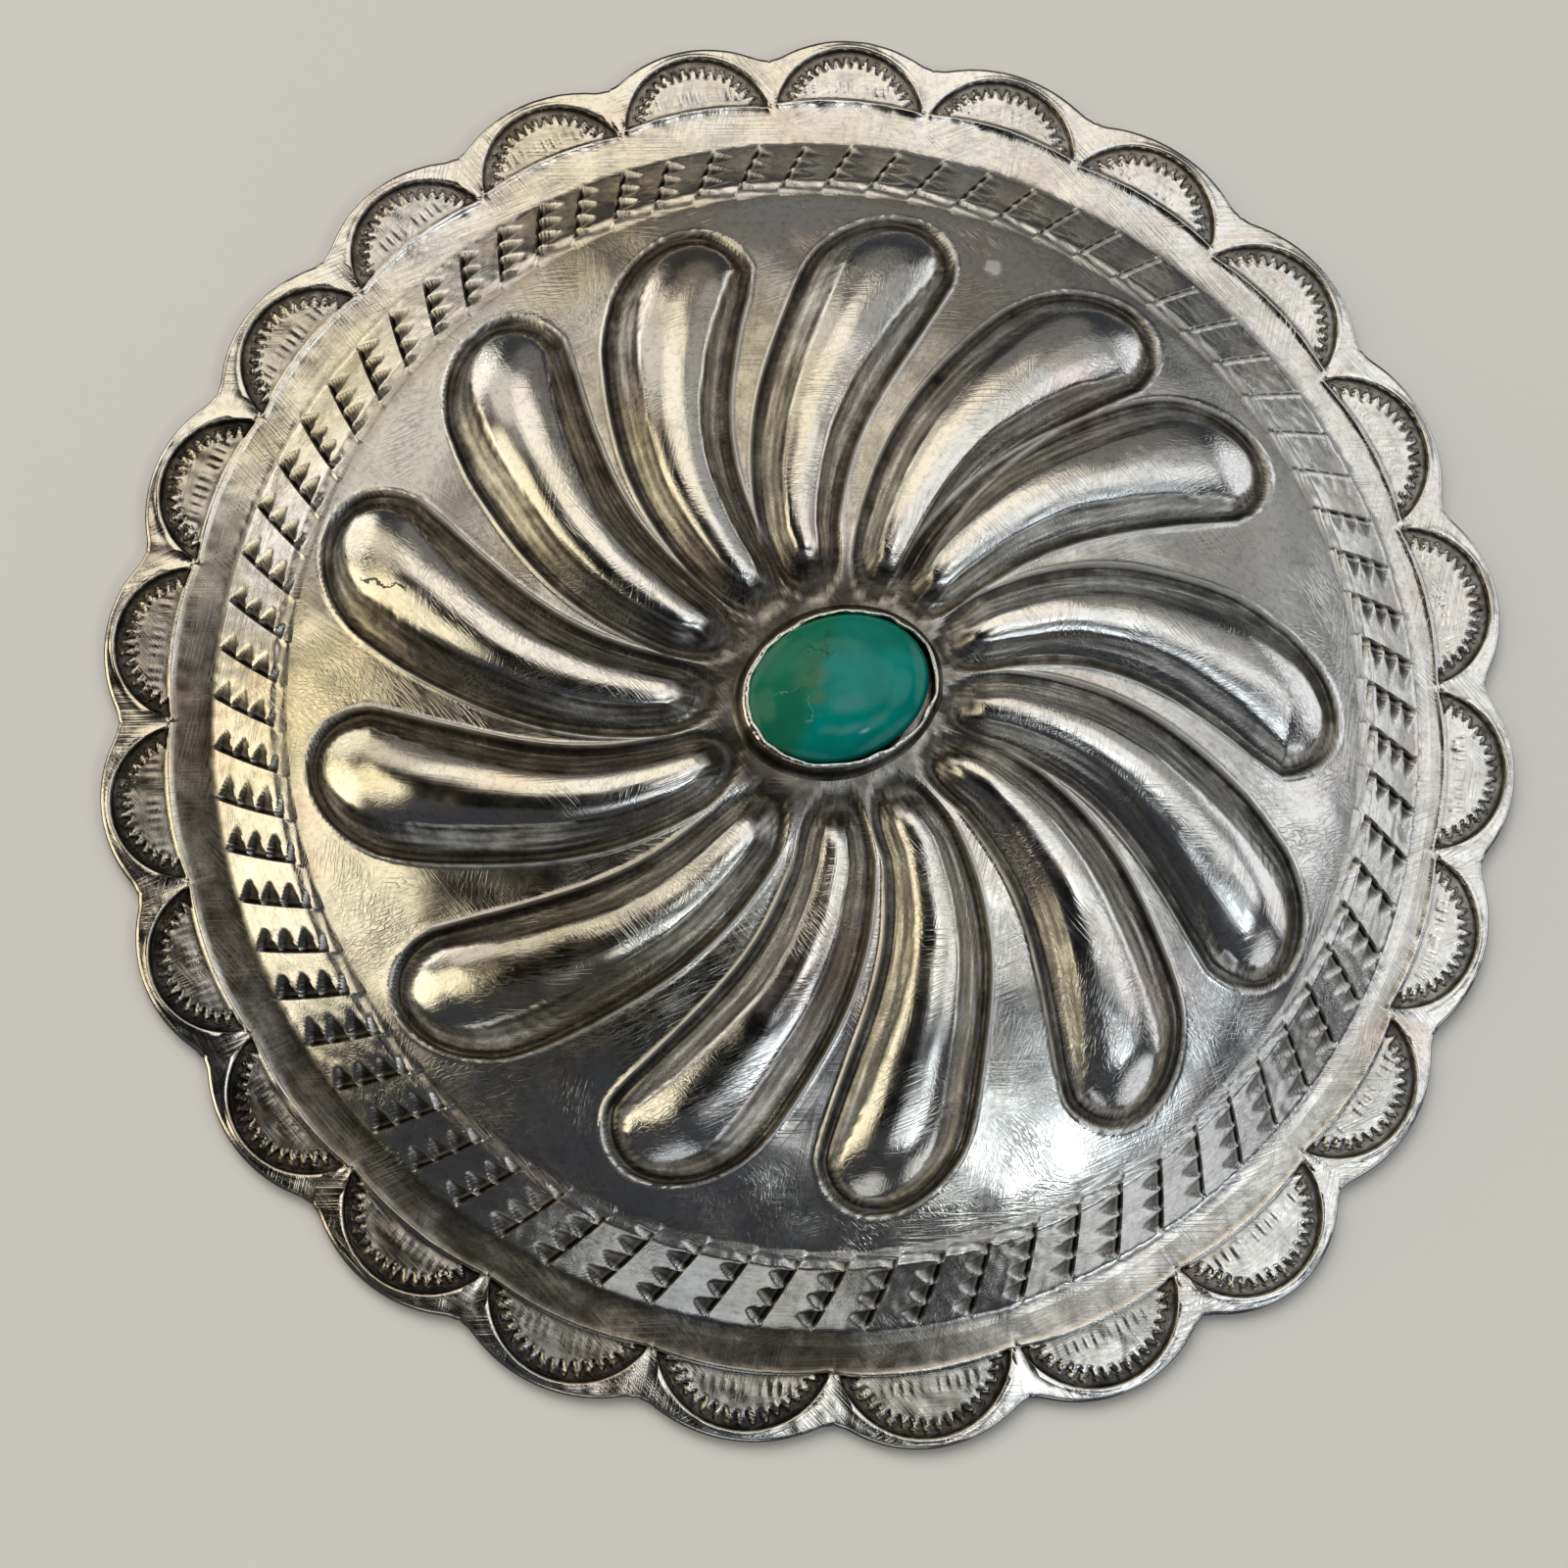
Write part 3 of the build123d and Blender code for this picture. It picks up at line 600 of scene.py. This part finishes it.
def bezelPiece():
    # A leaning wall with a worn, ragged crest, thinner and thicker round its oval, with its solder below
    n = setting["columns"]
    turn = np.linspace(0, fullTurn, n, endpoint=False)
    a, b, wall = setting["length"] / 2, setting["width"] / 2, setting["wall"]
    top, high = setting["seatTop"], setting["seatTop"] + setting["height"] - 0.08
    wobble = ripple(5 * np.cos(turn), 5 * np.sin(turn), 1.6, 41, 14)
    rag = ripple(5 * np.cos(turn), 5 * np.sin(turn), 0.45, 42, 14)
    opened = bell(np.mod(turn - setting["gapTurn"] + math.pi, fullTurn) - math.pi, 0.8)
    lean = setting["lean"] * (1 + 0.15 * wobble - 0.9 * opened)
    thick = wall * (0.72 + 0.10 * wobble) + 0.20 * bell(turn - math.pi, 0.7)
    crest = high - 0.06 - 0.03 * np.abs(wobble) + 0.010 * rag
    stages = [  # inwards by shares of the thickness and the lean, then outwards in millimetres; height; grime, near-black on the inner wall as painted shadow in the gap round the stone
        (0, 0, 0.55 * (b - wall) - b, top - 0.3, 0.95), (0, 0, 0.97 * (b - wall) - b, top - 0.3, 0.95),
        (1, 0.2, 0, top + 0.05, 0.95), (1, 0.5, 0, (top + crest) / 2, 1.0), (1, 1, 0, crest - 0.14, 0.85),
        (0.92, 1, 0, crest - 0.03, 0.10), (0.70, 1, 0, crest, 0.05), (0.30, 1, 0, crest - 0.01, 0.05),
        (0.08, 1, 0, crest - 0.06, 0.10), (0, 0.9, 0, crest - 0.16, 0.25), (0, 0.55, 0, (top + 2 * crest) / 3, 0.50),
        (0, 0.2, 0.02, top + 0.56, 0.80), (0, 0, 0.05, top + 0.40, 0.84), (0, 0, 0.11, top + 0.24, 0.72),
        (0, 0, 0.19, top + 0.10, 0.62), (0, 0, 0.29, top, 0.56), (0, 0, 0.38, top - 0.16, 0.55),
        (0, 0, 0.38, 7.6, 0.6),
    ]
    rings, dark = [], []
    for ofWall, ofLean, out, z, darkness in stages:
        out = out - ofWall * thick - ofLean * lean
        rings.append(ovalPoints(a + out, b + out, z, n))
        dark.append(np.full(n, darkness))
    for r, z in ((5.6, 7.38), (5.6, 7.36), (3.0, 7.35)):  # the round underside, inside the dome's sheet
        rings.append(ovalPoints(r, r, z, n))
        dark.append(np.full(n, 0.4))
    floats = {"tarnishAndShade": np.append(np.concatenate(dark), [0.95, 0.4])}
    return polePiece("bezel", np.stack(rings), (0, 0, top - 0.3), (0, 0, 7.35), floats)


def cabochon():
    # Low dome, (1 - s^2.3)^0.5 over the stone, with a soft girdle and a flat base
    n = stone["columns"]
    a, b = stone["length"] / 2 - 0.02, stone["width"] / 2 - 0.02
    girdle = stone["low"] + stone["girdle"] * 0.55
    rise = stone["low"] + stone["girdle"] + stone["rise"] - 0.02 - girdle
    share = np.sin(np.linspace(0, math.pi / 2, 50)[1:-1])
    lift = (1 - share ** 2.3) ** 0.5
    rings = [ovalPoints(a * s, b * s, girdle + rise * h, n) for s, h in zip(share, lift)]
    rings += [ovalPoints(a * s, b * s, z, n) for s, z in (
        (1.0, girdle), (1.0, girdle - 0.25), (0.995, stone["low"] + 0.12),
        (0.97, stone["low"] + 0.03), (0.93, stone["low"]),
    )]
    rings = np.stack(rings)
    rings[..., :2] += stone["shift"]
    rings[..., 2] += 0.010 * ripple(rings[..., 0], rings[..., 1], 3.5, 51) * (rings[..., 2] > girdle + 0.2)
    return polePiece("cabochon", rings, (*stone["shift"], girdle + rise), (*stone["shift"], stone["low"]))


# Finishes


def node(tree, kind, values=None, **settings):
    # Adds a shader node; a value is a number, a colour or another node's output
    made = tree.nodes.new("ShaderNode" + kind)
    for key, value in settings.items():
        setattr(made, key, value)
    for key, value in (values or {}).items():
        if isinstance(value, bpy.types.NodeSocket):
            tree.links.new(value, made.inputs[key])
        else:
            made.inputs[key].default_value = value
    return made


def maths(tree, operation, first, second=0.5, clamp=False):
    return node(tree, "Math", {0: first, 1: second}, operation=operation, use_clamp=clamp).outputs[0]


def plus(tree, first, second, clamp=False):
    return maths(tree, "ADD", first, second, clamp)


def minus(tree, first, second, clamp=False):
    return maths(tree, "SUBTRACT", first, second, clamp)


def times(tree, first, second, clamp=False):
    return maths(tree, "MULTIPLY", first, second, clamp)


def remap(tree, value, low, high, **settings):
    # 0 at the low value and 1 at the high one
    return node(tree, "MapRange", {0: value, 1: low, 2: high}, **settings).outputs[0]


def mixed(tree, share, under, over, blend="MIX"):
    # Under where the share is 0, and over where it is 1
    over = (*over, 1) if isinstance(over, tuple) else over
    return node(tree, "Mix", {0: share, 6: under, 7: over}, data_type="RGBA", blend_type=blend).outputs[2]


def vectors(tree, operation, first, second):
    # One step of vector arithmetic; a product, distance or length is a number
    made = node(tree, "VectorMath", {0: first, 1: second}, operation=operation)
    return made.outputs["Value" if operation in ("DOT_PRODUCT", "DISTANCE", "LENGTH") else "Vector"]


def ramp(tree, value, stops):
    # Colour ramp through (place, colour) stops
    made = node(tree, "ValToRGB", {0: value})
    elements = made.color_ramp.elements
    while len(elements) < len(stops):
        elements.new(0.5)
    for element, (where, colour) in zip(elements, stops):
        element.position = where
        element.color = (*colour, 1)
    return made.outputs["Color"]


def grain(tree, source, size, detail=4.0, rough=0.55, longer=1.0, turn=0.0):
    # Noise of a feature size, some times longer along x, turned by an angle
    mapped = node(tree, "Mapping", {
        "Vector": source, "Scale": (size * longer, size, size), "Rotation": (0, 0, math.radians(turn)),
    }, vector_type="TEXTURE")
    made = node(tree, "TexNoise", {"Vector": mapped.outputs[0], "Scale": 1.0, "Detail": detail, "Roughness": rough})
    return made.outputs["Fac"]


def blank(name, values):
    # A material of one plain surface, for the finishes below to build on
    material = bpy.data.materials.new(name)
    material.use_nodes = True
    tree = material.node_tree
    tree.nodes.clear()
    surface = node(tree, "BsdfPrincipled", values)
    node(tree, "OutputMaterial", {"Surface": surface.outputs[0]})
    return material, tree, surface


def lineMark(tree, own, start, end, width, wander):
    # 1 along a wandering line between two places on the front, 0 off it; all in metres
    along = Vector((end[0] - start[0], end[1] - start[1], 0))
    length = along.length
    along.normalize()
    off = vectors(tree, "SUBTRACT", own, (*start, 0.0))
    down = vectors(tree, "DOT_PRODUCT", off, tuple(along))
    beside = vectors(tree, "DOT_PRODUCT", off, (-along.y, along.x, 0.0))
    wave = times(tree, minus(tree, grain(tree, own, wander * 1.5, 3, 0.6), 0.5), wander * 3)
    near = maths(tree, "ABSOLUTE", plus(tree, beside, wave))
    across = remap(tree, near, width, width / 2)
    middle = maths(tree, "ABSOLUTE", minus(tree, down, length / 2))
    return times(tree, across, remap(tree, middle, length / 2, length / 2.4))


silver = {
    "polished": (0.94, 0.93, 0.905), "worn": (0.48, 0.465, 0.435), "oxide": (0.105, 0.096, 0.086),
    "black": (0.018, 0.017, 0.016), "warm": (1.0, 0.92, 0.74), "rose": (1.0, 0.88, 0.85),
    "polishedRoughness": 0.135, "oxideRoughness": 0.38, "burrRoughness": 0.45,
    "scratchDepth": 0.0000065, "brushDepth": 0.0000050, "pitDepth": 0.0000025,
    "warmFrom": (0.018, -0.012),  # the warm tint grows from none at the right to all of it at the left
    "crack": {"start": (-0.0247, 0.0060), "end": (-0.0221, 0.0053), "width": 0.00009, "wander": 0.0005},
    "scar": {"middle": (0.0088, 0.0242), "radius": 0.0006},  # pale pitted spot
    # sets of scratches: direction in degrees, length and width in metres
    "scratches": [(24, 0.0130, 0.00022), (-48, 0.0110, 0.00020), (78, 0.0120, 0.00024), (2, 0.0140, 0.00026)],
}


def agedSilverWithPaintedShade():
    # Polished, worn, oxidised or black, by how dark: tarnish + spread * (0.30 + 0.75 * tarnish), where the tarnish
    # value holds grime and, in places, painted shade
    material, tree, surface = blank("agedSilverWithPaintedShade", {"Metallic": 1.0})
    own = node(tree, "TexCoord").outputs["Object"]
    flow = node(tree, "UVMap", uv_map="flow").outputs[0]
    tarnishAndShade = node(tree, "Attribute", attribute_name="tarnishAndShade").outputs["Fac"]
    mottle = grain(tree, own, 0.0016, 7, 0.68)
    fine = grain(tree, own, 0.00035, 4, 0.65)
    brush = grain(tree, flow, 0.16, 4, 0.62, 22)  # flow is in millimetres
    coarse = grain(tree, flow, 0.55, 3, 0.5, 14)
    uneven, streaks = minus(tree, mottle, 0.5), minus(tree, brush, 0.5)
    # Grime and painted shade gather where the tarnish value says, broken up by the mottling and drawn out along the
    # marks
    spread = plus(tree, uneven, times(tree, streaks, minus(tree, 0.8, tarnishAndShade, True)))
    share = plus(tree, times(tree, tarnishAndShade, 0.75), 0.30)
    darkness = plus(tree, tarnishAndShade, times(tree, spread, share), True)
    colour = ramp(tree, darkness, [
        (0.08, silver["polished"]), (0.40, silver["worn"]), (0.74, silver["oxide"]), (1.0, silver["black"]),
    ])
    warmth = ramp(tree, grain(tree, own, 0.010, 3, 0.5), [(0.42, (1, 1, 1)), (0.66, silver["warm"])])
    rosy = ramp(tree, grain(tree, own, 0.006, 3, 0.5, turn=40), [(0.56, (1, 1, 1)), (0.72, silver["rose"])])
    specks = ramp(tree, fine, [(0.30, (0.72, 0.72, 0.72)), (0.50, (1, 1, 1))])
    toLeft = remap(tree, node(tree, "SeparateXYZ", {0: own}).outputs[0], *silver["warmFrom"])
    colour = mixed(tree, toLeft, colour, warmth, "MULTIPLY")
    colour = mixed(tree, 1.0, colour, rosy, "MULTIPLY")
    colour = mixed(tree, 1.0, colour, specks, "MULTIPLY")
    # Scratches: sets of thin lines, each kept to patches
    lines = None
    for turn, length, width in silver["scratches"]:
        line = grain(tree, own, width, 1, 0.4, length / width, turn)
        line = maths(tree, "ABSOLUTE", minus(tree, line, 0.5))
        line = minus(tree, 1.0, times(tree, line, 11), True)
        patch = minus(tree, grain(tree, own, 0.005, 3, 0.55, turn=turn), 0.47)
        line = times(tree, line, times(tree, patch, 5, True))
        lines = line if lines is None else maths(tree, "MAXIMUM", lines, line)
    seen = times(tree, lines, minus(tree, 0.5, times(tree, darkness, 0.4), True))
    colour = mixed(tree, seen, colour, silver["worn"])
    burr = node(tree, "Attribute", attribute_name="burr").outputs["Fac"]
    colour = mixed(tree, burr, colour, silver["polished"])
    # A crack across one lobe and a pale scar by another
    crack = lineMark(tree, own, **silver["crack"])
    colour = mixed(tree, times(tree, crack, 0.9), colour, silver["black"])
    spot, radius = silver["scar"]["middle"], silver["scar"]["radius"]
    away = vectors(tree, "DISTANCE", vectors(tree, "MULTIPLY", own, (1, 1, 0)), (*spot, 0))
    away = plus(tree, away, times(tree, minus(tree, fine, 0.5), 0.0008))
    scar = remap(tree, away, radius, radius * 0.6)
    colour = mixed(tree, scar, colour, silver["polished"])
    rough = node(tree, "MapRange", {0: darkness, 3: silver["polishedRoughness"], 4: silver["oxideRoughness"]}).outputs[0]
    for value, amount in ((uneven, 0.22), (lines, 0.12), (burr, silver["burrRoughness"])):
        rough = plus(tree, rough, times(tree, value, amount))
    rough = plus(tree, rough, times(tree, scar, 0.4), True)
    dents = minus(tree, plus(tree, fine, mottle), times(tree, crack, 12.0))
    relief = {}
    for height, depth, inward in (
        (plus(tree, brush, times(tree, coarse, 2.2)), "brushDepth", False),
        (dents, "pitDepth", False), (lines, "scratchDepth", True),
    ):
        values = {"Strength": 1.0, "Distance": silver[depth], "Height": height, **relief}
        relief = {"Normal": node(tree, "Bump", values, invert=inward).outputs[0]}
    for key, value in (("Base Color", colour), ("Roughness", rough), ("Normal", relief["Normal"])):
        tree.links.new(value, surface.inputs[key])
    return material


turquoiseLook = {
    "teal": (0.000, 0.215, 0.190), "green": (0.010, 0.140, 0.085), "olive": (0.10, 0.17, 0.075),
    "pale": (0.30, 0.42, 0.30), "crack": (0.006, 0.030, 0.022),
    "border": (-0.00155, -0.00080), "borderLean": -0.27,  # where green turns to teal, and how that line leans
    "upperBorder": (0.0013, 0.0022),
    "patch": {"middle": (-0.00125, -0.0003), "reach": (0.0009, 0.0016)},
    "cracks": [
        {"start": (-0.00080, 0.00290), "end": (-0.00086, 0.00115), "width": 0.00005, "wander": 0.0004},
        {"start": (-0.00200, 0.00190), "end": (-0.00015, 0.00155), "width": 0.00003, "wander": 0.0005},
    ],
    "veins": [
        {"start": (-0.00150, -0.00060), "end": (-0.00172, -0.00210), "width": 0.00005, "wander": 0.0006},
        {"start": (-0.00360, -0.00060), "end": (-0.00200, -0.00020), "width": 0.00003, "wander": 0.0005},
    ],
    "surface": {
        "Roughness": 0.07, "IOR": 1.44, "Specular IOR Level": 0.36,
        "Subsurface Weight": 0.06, "Subsurface Radius": (0.2, 0.8, 0.7), "Subsurface Scale": 0.0006,
    },
}


def polishedTurquoise():
    material, tree, surface = blank("polishedTurquoise", turquoiseLook["surface"])
    own = node(tree, "TexCoord").outputs["Object"]
    x, y = node(tree, "SeparateXYZ", {0: own}).outputs[:2]
    # Teal on the right, greener on the left and at the top, with the border wandering
    wander = times(tree, minus(tree, grain(tree, own, 0.0018, 4, 0.6), 0.5), 0.0022)
    side = plus(tree, plus(tree, x, times(tree, y, turquoiseLook["borderLean"])), wander)
    side = remap(tree, side, *turquoiseLook["border"])
    upper = times(tree, remap(tree, plus(tree, y, wander), *turquoiseLook["upperBorder"]), 0.6)
    side = minus(tree, side, upper, True)
    base = ramp(tree, side, [(0.0, turquoiseLook["green"]), (1.0, turquoiseLook["teal"])])
    cloud = ramp(tree, grain(tree, own, 0.0012, 5, 0.6), [(0.32, (0.80, 0.84, 0.82)), (0.68, (1.15, 1.10, 1.08))])
    base = mixed(tree, 1.0, base, cloud, "MULTIPLY")
    # Olive cloud near the border of the two greens
    middle, (reachX, reachY) = turquoiseLook["patch"]["middle"], turquoiseLook["patch"]["reach"]
    away = vectors(tree, "SUBTRACT", own, (*middle, 0))
    away = vectors(tree, "MULTIPLY", away, (1 / reachX, 1 / reachY, 0))
    away = vectors(tree, "LENGTH", away, (0, 0, 0))
    broken = times(tree, minus(tree, grain(tree, own, 0.0008, 4, 0.6), 0.36), 3, True)
    cloudy = times(tree, remap(tree, away, 1.0, 0.2), broken)
    base = mixed(tree, times(tree, cloudy, 0.8), base, turquoiseLook["olive"])
    for key, colour, strength in (("veins", "pale", 0.32), ("cracks", "crack", 0.75)):
        for row in turquoiseLook[key]:
            line = lineMark(tree, own, **row)
            base = mixed(tree, times(tree, line, strength), base, turquoiseLook[colour])
    tree.links.new(base, surface.inputs["Base Color"])
    dips = minus(tree, grain(tree, own, 0.00125, 4, 0.6), times(tree, line, 1.5))  # the last crack is open
    bump = node(tree, "Bump", {"Strength": 1.0, "Distance": 0.0000035, "Height": dips})
    tree.links.new(bump.outputs[0], surface.inputs["Normal"])
    return material


def pinSteel():
    # Grey steel, drawn out along the pin
    material, tree, surface = blank("pinSteel", {"Metallic": 1.0})
    own = node(tree, "TexCoord").outputs["Object"]
    drawn = grain(tree, own, 0.0006, 4, 0.6, 16, 21)
    colour = ramp(tree, drawn, [(0.3, (0.42, 0.41, 0.39)), (0.7, (0.66, 0.65, 0.62))])
    tree.links.new(colour, surface.inputs["Base Color"])
    tree.links.new(node(tree, "MapRange", {0: drawn, 3: 0.24, 4: 0.42}).outputs[0], surface.inputs["Roughness"])
    bump = node(tree, "Bump", {"Strength": 1.0, "Distance": 0.000002, "Height": drawn})
    tree.links.new(bump.outputs[0], surface.inputs["Normal"])
    return material


def paleFloor():
    # Matt, with faint clouds
    material, tree, surface = blank("paleFloor", {"Roughness": 0.85})
    own = node(tree, "TexCoord").outputs["Object"]
    colour = ramp(tree, grain(tree, own, 0.16, 3, 0.5), [(0.3, (0.70, 0.69, 0.67)), (0.7, (0.74, 0.73, 0.71))])
    tree.links.new(colour, surface.inputs["Base Color"])
    return material


# Building the brooch

silverWithPaintedShade = agedSilverWithPaintedShade()
for make in (lobedDome, ropeWall, stampedRim, bezelPiece):
    piece = make()
    piece.data.materials.append(silverWithPaintedShade)
    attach(piece, "root")
    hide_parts("concho_plate")
    print(piece.name, "has", len(piece.data.loops) - 2 * len(piece.data.polygons), "triangles")

gem = cabochon()
gem.data.materials.append(polishedTurquoise())
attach(gem, "root")
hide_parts("turquoise")
print(gem.name, "has", len(gem.data.loops) - 2 * len(gem.data.polygons), "triangles")

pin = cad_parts["back_pin"]
pin.data.materials.clear()
pin.data.materials.append(pinSteel())
print("pin has its steel")

# Floor, lights and camera

bpy.ops.mesh.primitive_plane_add(size=3.0, location=(0, 0, -0.00003))
floor = bpy.context.object
floor.name = "floor"
floor.data.materials.append(paleFloor())
floor.visible_glossy = False  # the metal mirrors a dark surround, as it does in the photo

studio = {
    "base": (0.036, 0.038, 0.044),
    # round soft panels far off: azimuth, angle from straight up, radius and soft edge in degrees; strength; colour
    "panels": {
        "ceilingRight": (30, 22, 17, 6, 0.95, (0.98, 0.98, 0.96)),
        "ceilingTop": (95, 30, 20, 6, 1.05, (1.0, 0.93, 0.80)),
        "overRight": (0, 12, 7, 4, 1.60, (0.96, 0.99, 1.0)),
        "rightMid": (40, 50, 16, 8, 0.34, (0.98, 0.98, 0.95)),
        "rightSky": (3, 44, 13, 5, 0.95, (0.97, 0.98, 1.0)),
        "upperLeft": (128, 57, 18, 6, 0.68, (1.0, 0.94, 0.80)),
        "farTop": (80, 64, 22, 8, 0.15, (1.0, 0.98, 0.93)),
        "leftSky": (181, 49, 19, 5, 1.15, (1.0, 0.90, 0.66)),
        "farLow": (138, 88, 22, 6, 1.2, (1.0, 0.96, 0.86)),
        "warmLamp": (184, 83, 22, 6, 1.5, (1.0, 0.90, 0.66)),
        "lowRight": (16, 91, 28, 6, 0.90, (0.96, 0.98, 1.0)),
        "lowFront": (-42, 86, 20, 6, 0.74, (0.94, 0.97, 1.0)),
        "lowNear": (-98, 86, 18, 5, 0.56, (0.92, 0.96, 1.0)),
        "window": (-36, 40, 8, 6, 1.45, (0.86, 0.94, 1.0)),
        "pane": (-50, 42, 3.0, 2, 7.0, (0.90, 0.96, 1.0)),
        "windowSide": (-58, 30, 6, 5, 1.6, (0.86, 0.94, 1.0)),
        "nearSky": (-74, 25, 5, 4, 1.1, (0.92, 0.96, 1.0)),
    },
    "flags": [  # dark boards overhead beside the camera, as slopes from straight up
        {"middle": (-0.26, -0.04), "half": (0.34, 0.29), "edge": 0.05, "shade": 0.94},
        {"middle": (-0.50, 0.30), "half": (0.20, 0.20), "edge": 0.06, "shade": 0.85},
    ],
    "lamps": [  # not mirrored in the metal
        {"name": "key", "place": (0.37, -0.44, 0.63), "size": 0.14, "power": 0.32, "colour": (0.90, 0.95, 1.0)},
        {"name": "fill", "place": (-0.30, 0.50, 0.90), "size": 0.70, "power": 5.0, "colour": (1.0, 0.98, 0.95)},
    ],
}


def studioWorld():
    # Light from a direction: the brightest of the base and, for each panel, strength * smooth step
    # of the angle to its middle, all darkened where a flag hides it
    world = bpy.data.worlds.new("studioWorld")
    world.use_nodes = True
    tree = world.node_tree
    tree.nodes.clear()
    direction = node(tree, "TexCoord").outputs["Generated"]
    total = node(tree, "RGB").outputs[0]
    total.default_value = (*studio["base"], 1)
    for azimuth, fromTop, radius, edge, strength, colour in studio["panels"].values():
        across, tilt = math.radians(azimuth), math.radians(fromTop)
        toward = (math.sin(tilt) * math.cos(across), math.sin(tilt) * math.sin(across), math.cos(tilt))
        turn = maths(tree, "ARCCOSINE", vectors(tree, "DOT_PRODUCT", direction, toward))
        low, high = math.radians(radius + edge), math.radians(radius - edge)
        amount = node(
            tree, "MapRange", {0: turn, 1: low, 2: high, 4: strength}, interpolation_type="SMOOTHSTEP",
        ).outputs[0]
        light = node(tree, "VectorMath", {0: colour, "Scale": amount}, operation="SCALE").outputs[0]
        total = vectors(tree, "MAXIMUM", total, light)
    *level, up = node(tree, "SeparateXYZ", {0: direction}).outputs
    height = maths(tree, "MAXIMUM", up, 0.01)
    for flag in studio["flags"]:
        hidden = flag["shade"]
        for part, middle, half in zip(level, flag["middle"], flag["half"]):
            slope = minus(tree, maths(tree, "DIVIDE", part, height), middle)
            away = minus(tree, maths(tree, "ABSOLUTE", slope), half)
            inside = remap(tree, away, flag["edge"], -flag["edge"], interpolation_type="SMOOTHSTEP")
            hidden = times(tree, inside, hidden)
        left = minus(tree, 1.0, hidden)
        total = node(tree, "VectorMath", {0: total, "Scale": left}, operation="SCALE").outputs[0]
    sky = node(tree, "Background", {"Color": total, "Strength": 1.0})
    node(tree, "OutputWorld", {"Surface": sky.outputs[0]})
    return world


bpy.context.scene.world = studioWorld()
for lamp in studio["lamps"]:
    light = bpy.data.lights.new(lamp["name"], "AREA")
    light.size, light.energy, light.color = lamp["size"], lamp["power"], lamp["colour"]
    holder = bpy.data.objects.new(lamp["name"], light)
    holder.location = lamp["place"]
    holder.visible_glossy = False
    holder.rotation_euler = (-Vector(lamp["place"])).to_track_quat("-Z", "Y").to_euler()
    bpy.context.scene.collection.objects.link(holder)
print("lights are set")

photo = {
    "place": (-18.191, -37.862, 186.119),  # millimetres, as the shapes are
    "right": (0.996, 0.0, 0.086), "view": (0.085, 0.182, -0.98),
    "lens": 81.33, "sensor": 36.0,
}
camera = bpy.data.objects.new("camera", bpy.data.cameras.new("camera"))
camera.data.lens, camera.data.sensor_width = photo["lens"], photo["sensor"]
camera.data.clip_start, camera.data.clip_end = 0.01, 10
view = Vector(photo["view"]).normalized()
right = (Vector(photo["right"]) - view * view.dot(Vector(photo["right"]))).normalized()
up = right.cross(view)
turned = Matrix((right, up, -view)).transposed().to_4x4()
camera.matrix_world = Matrix.Translation(Vector(photo["place"]) * mm) @ turned
bpy.context.scene.collection.objects.link(camera)
bpy.context.scene.camera = camera
bpy.context.scene.view_settings.view_transform = "Standard"
